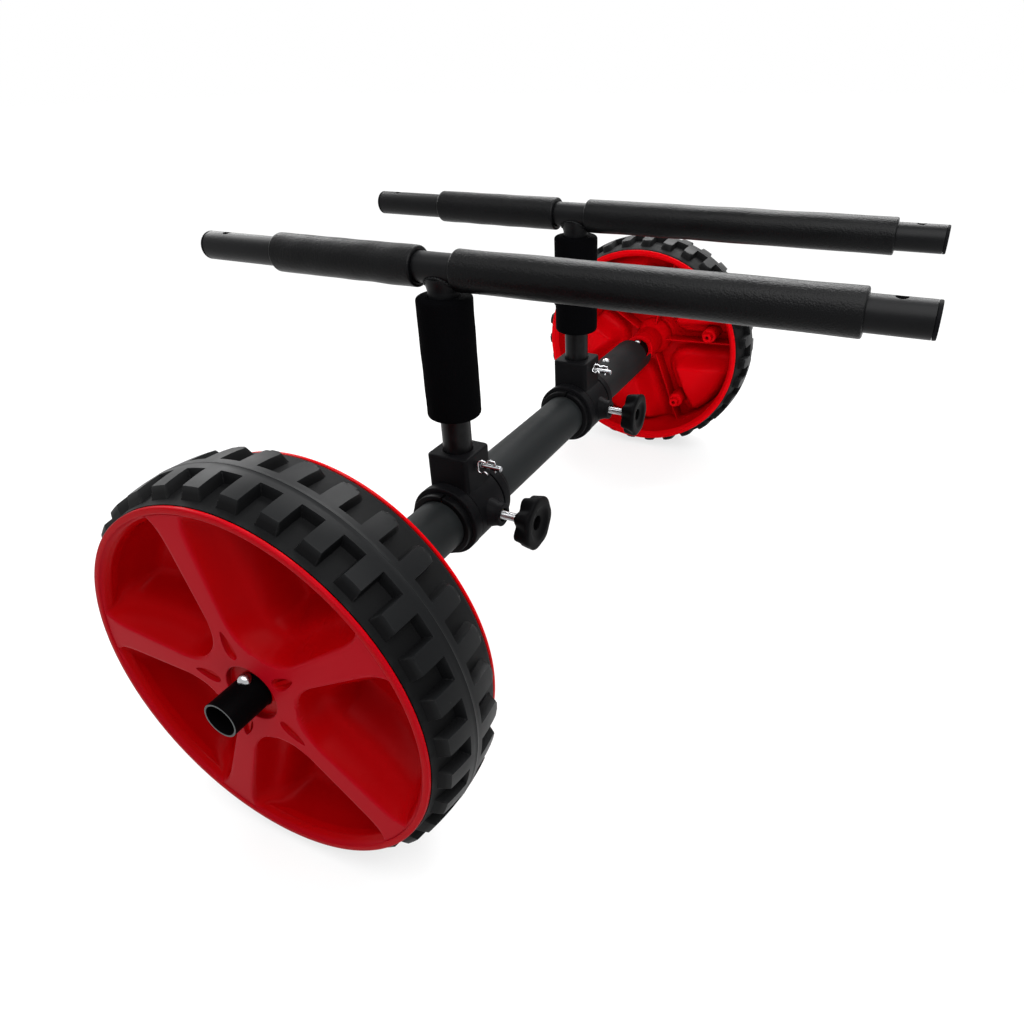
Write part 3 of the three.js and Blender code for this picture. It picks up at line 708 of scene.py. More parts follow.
# Painted light: the face tone makes the lug tops lighter than the pockets, which keep painted shade
TYRE_RUBBER = Finish(
    "moulded_tyre_rubber", "tyre_rubber", (0.001, 0.0011, 0.0013), (0.0017, 0.0018, 0.002), 0.58, 0.7,
    specular=0.07, grain_coarse=380.0, grain_fine=1600.0, bump_mm=0.06, bump_strength=0.3,
    rub=0.3, rub_tone=(0.018, 0.019, 0.019), matte_faces=-0.22, face_and_painted_light_tone=(0.0042, 0.0045, 0.0049),
    specks=0.01, speck_scale=140.0, speck_tone=(0.05, 0.05, 0.048), drift_scale=22.0,
)
BRIGHT_ZINC = Finish(
    "bright_zinc", "bright_steel", (0.32, 0.33, 0.34), (0.42, 0.42, 0.43), 0.12, 0.22, metallic=1.0,
    grain_coarse=500.0, grain_fine=2500.0, bump_mm=0.02, bump_strength=0.15, drift_scale=60.0,
)
PIN_ZINC = Finish(
    "pin_zinc", "bright_steel", (0.22, 0.23, 0.24), (0.32, 0.32, 0.33), 0.18, 0.3, metallic=1.0,
    grain_coarse=400.0, grain_fine=2200.0, bump_mm=0.02, bump_strength=0.25, drift_scale=80.0,
)
TURNED_BRASS = Finish(
    "turned_brass", "brass", (0.3, 0.22, 0.1), (0.38, 0.29, 0.14), 0.3, 0.4, metallic=1.0,
    grain_coarse=600.0, grain_fine=2500.0, bump_mm=0.02, bump_strength=0.2, drift_scale=60.0,
)


# Fitting pieces to the frame


def smooth_faces(mesh: Mesh, sharp_degrees: float) -> None:
    """Shades a mesh smoothly but keeps edges sharper than an angle."""
    mesh.shade_smooth()
    mesh.set_sharp_from_angle(angle=np.radians(sharp_degrees))


def edge_strength(mesh: Mesh) -> np.ndarray:
    """How strongly the surface turns outwards at each point, from 0 to 1.

    Each edge between two faces weighs one minus the cosine of the angle between their
    normals, counted where the neighbour's middle lies below the face's own plane.

    Args:
        mesh: a closed mesh.

    Returns:
        One value for each vertex.
    """
    loops, edges, faces = len(mesh.loops), len(mesh.edges), len(mesh.polygons)
    edge_of_loop = np.empty(loops, np.int32)
    mesh.loops.foreach_get("edge_index", edge_of_loop)
    totals = np.empty(faces, np.int32)
    mesh.polygons.foreach_get("loop_total", totals)
    normals, middles = np.empty(faces * 3), np.empty(faces * 3)
    mesh.polygons.foreach_get("normal", normals)
    mesh.polygons.foreach_get("center", middles)
    normals, middles = normals.reshape(-1, 3), middles.reshape(-1, 3)
    ends = np.empty(edges * 2, np.int32)
    mesh.edges.foreach_get("vertices", ends)
    ends = ends.reshape(-1, 2)
    face_of_loop = np.repeat(np.arange(faces), totals)
    order = np.argsort(edge_of_loop, kind="stable")
    sorted_edges = edge_of_loop[order]
    pair = np.flatnonzero(sorted_edges[1:] == sorted_edges[:-1])
    first, second = face_of_loop[order[pair]], face_of_loop[order[pair + 1]]
    between = middles[second] - middles[first]
    below = np.einsum("ij,ij->i", normals[first], between) < 0
    bend = np.clip(1 - np.einsum("ij,ij->i", normals[first], normals[second]), 0, 1) * below
    strength = np.zeros(len(mesh.vertices))
    np.maximum.at(strength, ends[sorted_edges[pair]].reshape(-1), np.repeat(bend, 2))
    return np.clip(strength * EDGE_GAIN, 0, 1)


def merged_mesh(name: str, surface: Surface, close_ends: bool) -> Mesh:
    """A surface as a mesh in metres, its doubles merged and its faces outward.

    Args:
        name: the mesh's name.
        surface: points and faces in millimetres about the axle's middle.
        close_ends: whether open edges are filled.

    Returns:
        The mesh.
    """
    mesh = bpy.data.meshes.new(name)
    mesh.from_pydata(((surface.points + AXLE_MIDDLE) * MM).tolist(), [], surface.faces)
    work = bmesh.new()
    work.from_mesh(mesh)
    bmesh.ops.remove_doubles(work, verts=work.verts, dist=MERGE_DISTANCE * MM)
    bmesh.ops.dissolve_degenerate(work, edges=work.edges, dist=SLIVER_LENGTH * MM)
    if close_ends:
        bmesh.ops.holes_fill(work, edges=[e for e in work.edges if e.is_boundary], sides=0)
    bmesh.ops.recalc_face_normals(work, faces=work.faces)
    work.to_mesh(mesh)
    work.free()
    return mesh


def fit_piece(
    name: str, surface: Surface, finish: Finish, body: str, stands_for: list[str],
    close_ends: bool = False, sharp_degrees: float = 38.0, drills: list[Surface] | None = None,
) -> Object:
    """Makes a finished piece that rides on a body.

    Args:
        name: the piece's name.
        surface: its shape.
        finish: its finish.
        body: the frame body that it rides on.
        stands_for: frame nodes that it replaces.
        close_ends: whether open ends are filled.
        sharp_degrees: edges sharper than this stay sharp.
        drills: closed shapes that are cut out of it.

    Returns:
        The piece's object.
    """
    mesh = merged_mesh(name, surface, close_ends)
    piece = bpy.data.objects.new(name, mesh)
    bpy.context.scene.collection.objects.link(piece)
    for i, drill in enumerate(drills or []):
        cut_out(piece, drill, f"{name}_drill_{i}")
    smooth_faces(piece.data, sharp_degrees)
    write_values(piece, "edge", edge_strength(piece.data))
    piece.data.materials.clear()
    piece.data.materials.append(finish.material())
    if stands_for:
        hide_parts(*stands_for)
    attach(piece, body)
    LOG.info("%s: %d faces on %s", name, len(piece.data.polygons), body)
    return piece


def local_points(piece: Object) -> np.ndarray:
    """Reads a piece's points.

    Args:
        piece: the piece.

    Returns:
        Points in millimetres about the axle's middle.
    """
    points = np.empty(len(piece.data.vertices) * 3)
    piece.data.vertices.foreach_get("co", points)
    return points.reshape(-1, 3) / MM - AXLE_MIDDLE


def write_values(piece: Object, name: str, values: np.ndarray) -> None:
    """Keeps one number for each point of a piece, for its finish to read."""
    attribute = piece.data.attributes.new(name, "FLOAT", "POINT")
    attribute.data.foreach_set("value", values.astype(np.float32))


def cut_out(piece: Object, drill: Surface, name: str) -> None:
    """Cuts a closed shape out of a piece and writes the result into its mesh.

    Args:
        piece: the piece.
        drill: the shape that is taken out.
        name: a name for the cutting tool, which is removed again.
    """
    tool = bpy.data.objects.new(name, merged_mesh(name, drill, False))
    bpy.context.scene.collection.objects.link(tool)
    modifier = piece.modifiers.new("cut", "BOOLEAN")
    modifier.object = tool
    modifier.operation = "DIFFERENCE"
    modifier.solver = "EXACT"
    graph = bpy.context.evaluated_depsgraph_get()
    graph.update()
    result = bpy.data.meshes.new_from_object(piece.evaluated_get(graph))
    piece.modifiers.clear()
    old, piece.data = piece.data, result
    bpy.data.meshes.remove(old)
    tool_mesh = tool.data
    bpy.data.objects.remove(tool)
    bpy.data.meshes.remove(tool_mesh)


def drill_shape(radius: float, start: float, end: float, axis: Along, sides: int = 40) -> Surface:
    """A closed rod used as a cutting tool."""
    corners = [(0, start, 0), (radius, start, 0), (radius, end, 0), (0, end, 0)]
    return turned_shape(corners, axis, sides, closed=False)


def dress_node(node: str, finish: Finish) -> None:
    """Gives a frame node that stays in view a detailed finish.

    Args:
        node: the node's name.
        finish: its finish.
    """
    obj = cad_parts[node]
    obj.data.materials.clear()
    obj.data.materials.append(finish.material())
    LOG.info("%s keeps its frame shape", node)


# Axle and its ends


@dataclass
class AxleTube:
    """The main tube, whose ends are cut away above the middle."""

    radius: float = 23.0
    wall: float = 2.0
    end: float = 300.0
    notch: float = 18.0
    notch_rise: float = 2.0
    lock_place: float = 196.0
    lock_hole: float = 4.8
    rounding: float = 0.35
    edge_length: float = 2.0
    corner_gap: float = 0.2
    half_columns: int = 64

    def shape(self) -> Surface:
        """Joins a wall outline whose ends step back where the angle is above the notch line.

        Returns:
            The tube's wall as a closed surface.
        """
        step = np.arcsin(self.notch_rise / self.radius)
        narrow = self.corner_gap / self.radius
        upper = np.linspace(step + narrow, np.pi - step - narrow, self.half_columns)
        lower = np.linspace(np.pi - step + narrow, FULL_TURN + step - narrow, self.half_columns)
        angle = np.concatenate([upper, lower])[:, None]
        reach = np.repeat([self.end - self.notch, self.end], self.half_columns)[:, None]
        bore, length = self.radius - self.wall, self.edge_length
        edge = [(bore, 0, self.rounding), (self.radius, 0, self.rounding)]
        outline = softened([(bore, -length, 0), *edge, (self.radius, -length, 0)], closed=False)
        radii = np.concatenate([outline[:, 0], outline[::-1, 0]])[None, :]
        places = np.concatenate([reach + outline[None, :, 1], -reach - outline[None, ::-1, 1]], axis=1)
        return Surface.from_grid(on_line(radii, places, angle, Along.Y))

    def build(self) -> None:
        """Makes the tube with its two lock holes."""
        drill = drill_shape(self.lock_hole, 0, self.radius + DRILL_OVERRUN, Along.Z).moved(y=self.lock_place)
        holes = [drill, drill.turned(Along.X, np.pi)]
        fit_piece("main_axle", self.shape(), AXLE_COAT, "axle", ["axle_tube"], drills=holes)


@dataclass
class AxleEnd:
    """Plug, stub tube and spring buttons of one end, drawn towards +Y."""

    side: Side
    stub_radius: float = 12.5
    stub_wall: float = 1.5
    stub_start: float = 180.0
    stub_end: float = 415.0
    plug_start: float = 177.0
    plug_end: float = 282.0
    plug_radius: float = 20.7
    plug_bore: float = 12.8
    plug_rounding: float = 0.8
    stub_rounding: float = 0.35
    end_face_depth: float = 0.08
    button_hole: float = 4.8
    button_radius: float = 4.5
    button_foot: float = 7.4
    button_flange_radius: float = 5.6
    button_flange: float = 1.4
    button_rounding: float = 0.3
    # Place along the axle, radius of the tube round it and height above that, for each role
    button_places: dict[str, Triple] = field(
        default_factory=lambda: {
            "lock": (196.0, 23.0, 3.4),
            "stop": (309.0, 12.5, 3.4),
            "retainer": (391.5, 12.5, 4.4),
        }
    )

    def set_out(self, surface: Surface, role: str = "") -> Surface:
        """Turns a shape drawn towards +Y to this end; the near lock faces downwards."""
        under = role == "lock" and self.side is Side.NEAR
        return surface.turned(Along.Y, np.pi if under else 0.0).turned(Along.Z, self.side.turn)

    def button(self, place: float, surface_radius: float, rise: float) -> Surface:
        """Turns a stem with a flange at its foot and a dome, a quarter of an oval, on top.

        Args:
            place: place along the axle.
            surface_radius: radius of the tube that the button comes out of.
            rise: how far it stands out of that tube.

        Returns:
            The button, pointing upwards.
        """
        foot, top = self.button_foot, surface_radius + rise
        shelf = foot + self.button_flange
        height = min(self.button_radius, rise)
        dome_foot = top - height
        quarter = np.linspace(0, np.pi / 2, 12)[:-1]
        dome = [(self.button_radius * np.cos(a), dome_foot + height * np.sin(a), 0.0) for a in quarter]
        corners = [
            (0.0, foot, 0.0), (self.button_flange_radius, foot, self.button_rounding),
            (self.button_flange_radius, shelf, self.button_rounding),
            (self.button_radius, shelf, 0.0),
            *dome,
            (0.0, top, 0.0),
        ]
        return turned_shape(corners, Along.Z, 40, closed=False, steps=3).moved(y=place)

    def build(self) -> None:
        """Makes the plug, the stub and the three buttons."""
        word = self.side.word
        ends = (self.plug_start, self.plug_end)
        plug = tube_shape(self.plug_bore, self.plug_radius, *ends, Along.Y, rounding=self.plug_rounding)
        hole = drill_shape(self.button_hole, 0, self.plug_radius + DRILL_OVERRUN, Along.Z)
        hole = hole.moved(y=self.button_places["lock"][0])
        node = f"axle_plug_{word}"
        drills = [self.set_out(hole, "lock")]
        fit_piece(f"end_plug_{word}", self.set_out(plug), CLAMP_PLASTIC, "axle", [node], drills=drills)
        bore, ends = self.stub_radius - self.stub_wall, (self.stub_start, self.stub_end)
        stub = tube_shape(bore, self.stub_radius, *ends, Along.Y, rounding=self.stub_rounding)
        drill = drill_shape(self.button_hole, 0, self.stub_radius + DRILL_OVERRUN, Along.Z)
        drills = [
            self.set_out(drill.moved(y=places[0]), role) for role, places in self.button_places.items()
        ]
        node = f"stub_tube_{word}"
        piece = fit_piece(f"wheel_stub_{word}", self.set_out(stub), STUB_COAT, "axle", [node], drills=drills)
        past_face = np.abs(local_points(piece)[:, 1]) - self.stub_end + self.end_face_depth
        write_values(piece, "flat_face", (past_face > 0).astype(float))
        for role, places in self.button_places.items():
            name = f"{role}_button_{word}"
            shape = self.set_out(self.button(*places), role)
            fit_piece(f"domed_{name}", shape, BRIGHT_ZINC, name, [name], sharp_degrees=50)
            dress_node(f"{role}_spring_{word}", BRIGHT_ZINC)


# Wheels


@dataclass
class Hub:
    """The red moulding: web, pockets, rim and bore sleeve, with its open face at -Y."""

    half: float = 38.5
    flange_radius: float = 133.0
    flange_thickness: float = 2.9
    flange_land: float = 4.5
    barrel_radius: float = 127.4
    barrel_wall: float = 3.2
    web_recess: float = 1.0
    web_thickness: float = 4.0
    web_inset: float = 2.5
    spokes: int = 5
    first_spoke: float = np.radians(33.0)
    root_half_width: float = 6.0
    rim_half_width: float = 10.0
    rim_flare: float = 4.6
    flare_start_share: float = 0.7
    flare_length_share: float = 0.25
    flare_power: float = 2.2
    pocket_depth: float = 44.0
    pocket_start: float = 30.0
    wall_reach: float = 27.0
    wall_ease: float = 1.0
    wall_power: float = 1.8
    ledge_place: float = 12.0
    ledge_share: float = 0.42
    drop_start_share: float = 0.85
    floor_fillet: float = 12.0
    floor_rise_share: float = 0.24
    floor_rise_start: float = 80.0
    floor_rise_length: float = 44.0
    rim_margin: float = 17.0
    ring_radius: float = 25.5
    ring_land: float = 2.0
    counterbore: float = 20.5
    counterbore_depth: float = 4.0
    counterbore_land: float = 1.6
    bore: float = 12.9
    sleeve_radius: float = 19.0
    sleeve_inset: float = 2.0
    collar_start: float = 1.5
    collar_depth: float = 13.0
    taper_depth: float = 30.0
    lip_gap: float = 0.9
    dimple_middle: float = 36.5
    dimple_half_length: float = 10.8
    dimple_half_width: float = 4.3
    dimple_depth: float = 3.3
    dimple_lid: float = 3.0
    dimple_taper_share: float = 0.4
    dimple_power: float = 0.45
    rib_thickness: float = 1.8
    rib_height: float = 24.0
    rib_inset: float = 3.0
    rib_draft: float = 0.4
    rib_rounding: float = 0.6
    boss_radius: float = 5.8
    boss_foot: float = 9.5
    boss_draft: float = 1.0
    boss_step: float = 9.0
    boss_step_draft: float = 0.4
    boss_height: float = 57.0
    boss_pitch: float = 90.0
    boss_offset: float = -17.0
    boss_bore: float = 2.4
    boss_bore_depth: float = 12.0

    @property
    def barrel(self) -> float:
        """Radius of the rim's inner wall."""
        return self.barrel_radius - self.barrel_wall

    @property
    def land(self) -> float:
        """Radius at which the rim's lip begins on the outer face."""
        return self.flange_radius - self.flange_land

    @property
    def cone_start(self) -> float:
        """Where the rim's inner wall begins to open outwards."""
        return self.half - 2 * self.flange_thickness

    def spoke_half_width(self, radius: np.ndarray) -> np.ndarray:
        """Half the width of a spoke, growing from root to rim and flaring at the rim.

        The width follows the radius as a straight line, and past a share of the way
        the flare is added, times a power of the share of the flare's length.

        Args:
            radius: distances from the wheel's middle.

        Returns:
            The half widths there.
        """
        share = (radius - self.ring_radius) / (self.flange_radius - self.ring_radius)
        flare_share = np.clip((share - self.flare_start_share) / self.flare_length_share, 0, 1)
        flare = self.rim_flare * flare_share**self.flare_power
        return self.root_half_width + (self.rim_half_width - self.root_half_width) * share + flare

    def pocket_share(self, radius: np.ndarray, turn: np.ndarray) -> np.ndarray:
        """Depth of a pocket at a place, as a share of its full depth.

        Four distances are taken: to the edges of the two spokes (the radius times the
        sine of the angle to the spoke's middle, less its half width), to the pocket's
        inner end and to a line some way behind the rim's wall. Each falls short of the
        wall's reach by some gap, and the place lies at the reach less the root of the
        sum of the squared gaps, so that the walls meet in round corners. The wall drops
        steeply to a ledge and then more softly to the floor, which rises a little
        towards the rim.

        Args:
            radius: distance from the wheel's middle.
            turn: angle from the pocket's middle line.

        Returns:
            Shares from 0 on the spokes to 1 on the floor.
        """
        half_sector = np.pi / self.spokes
        width = self.spoke_half_width(radius)
        reach = self.wall_reach
        distances = (
            radius * np.sin(half_sector - turn) - width,
            radius * np.sin(half_sector + turn) - width,
            radius - self.pocket_start,
            self.barrel - radius + self.rim_margin,
        )
        gaps = sum(np.clip(reach - distance, 0, None) ** 2 for distance in distances)
        inside = np.clip(reach - np.sqrt(gaps), 0, None)
        eased = np.hypot(inside, self.wall_ease) - self.wall_ease
        upper = 1 - (1 - np.clip(eased / self.ledge_place, 0, 1)) ** self.wall_power
        drop_start = self.drop_start_share * self.ledge_place
        lower = smooth_step((eased - drop_start) / (reach - self.wall_ease - drop_start))
        rise = smooth_step((radius - self.floor_rise_start) / self.floor_rise_length)
        fall = 1 - self.floor_rise_share * rise
        return (self.ledge_share * upper + (1 - self.ledge_share) * lower) * fall

    def columns(self) -> tuple[np.ndarray, np.ndarray]:
        """Spaces the columns of one sector, closest together along the pocket's edges.

        Returns:
            The columns' shares of the way over the pocket, and those over the spoke.
        """
        edge_shares = np.array([0, 0.004, 0.010, 0.018, 0.028, 0.042, 0.06, 0.082])
        across = np.concatenate([edge_shares, np.linspace(0.106, 0.5, 16)])
        pocket = np.concatenate([across, 1 - across[-2::-1]])
        return pocket, np.linspace(0, 1, 10)[1:-1]

    def web_level(self, share: np.ndarray, set_back: float) -> tuple[np.ndarray, np.ndarray, np.ndarray]:
        """Radius, outward place and angle of web points.

        Args:
            share: places from the ring (0) to the rim's inner wall (1).
            set_back: how far the web lies behind the outer face.

        Returns:
            Three arrays of shape (columns, rows). A point's angle is that of the spoke
            edge at its radius plus its column's share of the way to the next spoke.
        """
        barrel, land = self.barrel, self.land
        start = (self.ring_radius if set_back else self.counterbore) + self.web_inset
        plain = start + (barrel - start) * share[None, :]
        pocket, spoke = self.columns()
        half_sector = np.pi / self.spokes
        edge = np.arcsin(self.spoke_half_width(plain) / plain)
        over_pocket = edge + 2 * (half_sector - edge) * pocket[:, None]
        over_spoke = 2 * half_sector - edge + 2 * edge * spoke[:, None]
        turn = np.concatenate([over_pocket, over_spoke])
        depth = self.pocket_depth * self.pocket_share(plain, half_sector - over_pocket)
        corner = np.clip(self.floor_fillet - (barrel - plain), 0, None)
        lift = self.floor_fillet - np.sqrt(self.floor_fillet**2 - corner**2)
        depth = depth - lift * np.clip(depth / (2 * self.floor_fillet), 0, 1)
        depth = np.concatenate([depth, np.zeros(over_spoke.shape)])
        out = self.half - self.web_recess - set_back - depth
        cone = np.clip((out[:, -1:] - self.cone_start) / (self.half - self.cone_start), 0, 1)
        wall = barrel + cone * (land - barrel)
        return start + (wall - start) * share[None, :], out, turn

    def rim_outline(self) -> np.ndarray:
        """Rounds the rim's outline from its outer lip to the inner end of its back.

        Returns:
            Points as (radius, place) pairs.
        """
        half, side = self.half, self.half - self.flange_thickness
        first_half = [
            (self.land, half, 1.2), (self.flange_radius, half, 1.0),
            (self.flange_radius, side, 0.5), (self.barrel_radius, side, 0.6),
        ]
        return softened([*mirrored(first_half), (self.barrel, -self.cone_start, 1.0)], closed=True, steps=3)

    def sleeve_outline(self) -> np.ndarray:
        """Rounds the outline from behind the web round the bore sleeve to the counterbore's edge.

        Returns:
            Points as (radius, place) pairs.
        """
        face = self.half - self.web_recess
        back = face - self.web_thickness
        floor = face - self.counterbore_depth
        end = self.sleeve_inset - self.half
        corners = [
            (self.ring_radius + self.ring_land, back, 0),
            (self.ring_radius, back - self.collar_start, 0.8),
            (self.ring_radius, face - self.collar_depth, 2),
            (self.sleeve_radius, face - self.taper_depth, 3), (self.sleeve_radius, end, 0.8),
            (self.bore, end, 0.6), (self.bore, floor, 0.6), (self.counterbore, floor, 1.0),
            (self.counterbore, face, 0.7), (self.counterbore + self.counterbore_land, face, 0),
        ]
        return softened(corners, closed=False)

    def shape(self) -> Surface:
        """Lofts the whole moulding through columns about the axle.

        Each column runs over the front of the web, up the rim's inner wall, round the
        rim, back behind the web and through the bore sleeve.

        Returns:
            One closed surface.
        """
        front_shares = spaced((0, 0.12, 0.42, 0.92, 1), (5, 25, 25, 9))
        front_r, front_out, front_turn = self.web_level(front_shares, 0.0)
        back_shares = spaced((0, 0.4, 1), (13, 17))
        back_r, back_out, back_turn = self.web_level(back_shares, self.web_thickness)
        rise = np.linspace(0, 1, 9)[1:-1][None, :]
        cone_out = front_out[:, -1:] + (self.half - self.lip_gap - front_out[:, -1:]) * rise
        cone = np.clip((cone_out - self.cone_start) / (self.half - self.cone_start), 0, 1)
        cone_r = self.barrel + cone * (self.land - self.barrel)
        columns = len(front_r)
        rim, sleeve = (
            np.broadcast_to(outline[None], (columns, *outline.shape))
            for outline in (self.rim_outline(), self.sleeve_outline())
        )
        radii = np.concatenate([front_r, cone_r, rim[..., 0], back_r[:, ::-1], sleeve[..., 0]], axis=1)
        outs = np.concatenate([front_out, cone_out, rim[..., 1], back_out[:, ::-1], sleeve[..., 1]], axis=1)
        at_rim = np.broadcast_to(front_turn[:, -1:], (columns, cone_r.shape[1] + rim.shape[1]))
        at_sleeve = np.broadcast_to(front_turn[:, :1], (columns, sleeve.shape[1]))
        turn = np.concatenate([front_turn, at_rim, back_turn[:, ::-1], at_sleeve], axis=1)
        sectors = np.arange(self.spokes)[:, None, None] * FULL_TURN / self.spokes
        grid = on_line(radii, -outs, self.first_spoke + sectors + turn[None], Along.Y)
        return Surface.from_grid(grid.reshape(-1, grid.shape[2], 3))

    def dimple(self) -> Surface:
        """A long drop-shaped hollow that is cut into the root of one spoke, along +X.

        Its plan is an oval whose width is scaled by one less a share of the cosine of
        the angle, so that the hub end is blunt and the outer end narrow.

        Returns:
            The hollow as a closed shape with a lid above the spoke's face.
        """
        angle = np.linspace(0, FULL_TURN, 56, endpoint=False)[:, None]
        level = np.linspace(0, np.pi / 2, 10)[None, :]
        taper = 1 - self.dimple_taper_share * np.cos(angle)
        spread = np.cos(level) ** self.dimple_power
        x = self.dimple_middle + self.dimple_half_length * np.cos(angle) * spread
        z = self.dimple_half_width * np.sin(angle) * taper * spread
        face = -(self.half - self.web_recess)
        y = face + self.dimple_depth * np.sin(level) + 0 * angle
        above = self.dimple_lid
        lid = np.stack([x[:, :1], y[:, :1] - above, z[:, :1]], axis=-1)
        lid_middle = np.broadcast_to(np.array([self.dimple_middle, face - above, 0.0]), lid.shape)
        grid = np.concatenate([lid_middle, lid, np.stack(np.broadcast_arrays(x, y, z), axis=-1)], axis=1)
        return Surface.from_grid(grid, True, False)

    def spoke_back(self) -> Surface:
        """A thin rib behind one spoke, along +X, and a stepped hollow screw boss beside it.

        The boss's foot follows the pocket's wall: each of its points lies as deep as
        the pocket is there.

        Returns:
            The rib and the boss as one surface.
        """
        face = -(self.half - self.web_recess - self.web_thickness / 2)
        top = face + self.boss_height
        step, floor = top - self.boss_step, top - self.boss_bore_depth
        corners = [
            (0, face, 0), (self.boss_foot + self.boss_draft, face, 0), (self.boss_foot, step, 2.5),
            (self.boss_radius + self.boss_step_draft, step, 1.5), (self.boss_radius, top, 0.7),
            (self.boss_bore, top, 0.4), (self.boss_bore, floor, 0), (0, floor, 0),
        ]
        boss = turned_shape(corners, Along.Y, 40, closed=False).moved(x=self.boss_pitch, z=self.boss_offset)
        foot = boss.points[:, 1] < face + 0.01
        x, z = boss.points[foot, 0], boss.points[foot, 2]
        share = self.pocket_share(np.hypot(x, z), np.pi / self.spokes - np.abs(np.arctan2(z, x)))
        boss.points[foot, 1] = face + self.pocket_depth * share
        return self.rib(face).with_other(boss)

    def rib(self, face: float) -> Surface:
        """Carries a rounded strip section out along the spoke.

        Args:
            face: place of the rib's foot along the axle.

        Returns:
            The rib as a closed surface.
        """
        half, top, rounding = self.rib_thickness / 2, face + self.rib_height, self.rib_rounding
        corners = [
            (-half - self.rib_draft, face, 0), (-half, top, rounding), (half, top, rounding),
            (half + self.rib_draft, face, 0),
        ]
        section = softened(corners, closed=True, steps=3)
        x = np.linspace(self.ring_radius - self.rib_inset, self.barrel_radius - self.barrel_wall / 2, 24)
        grid = np.stack(np.broadcast_arrays(x[:, None], section[None, :, 1], section[None, :, 0]), axis=-1)
        ends = [np.broadcast_to(grid[i].mean(axis=0), grid[i].shape)[None] for i in (0, -1)]
        return Surface.from_grid(np.concatenate([ends[0], grid, ends[1]]), False, True)


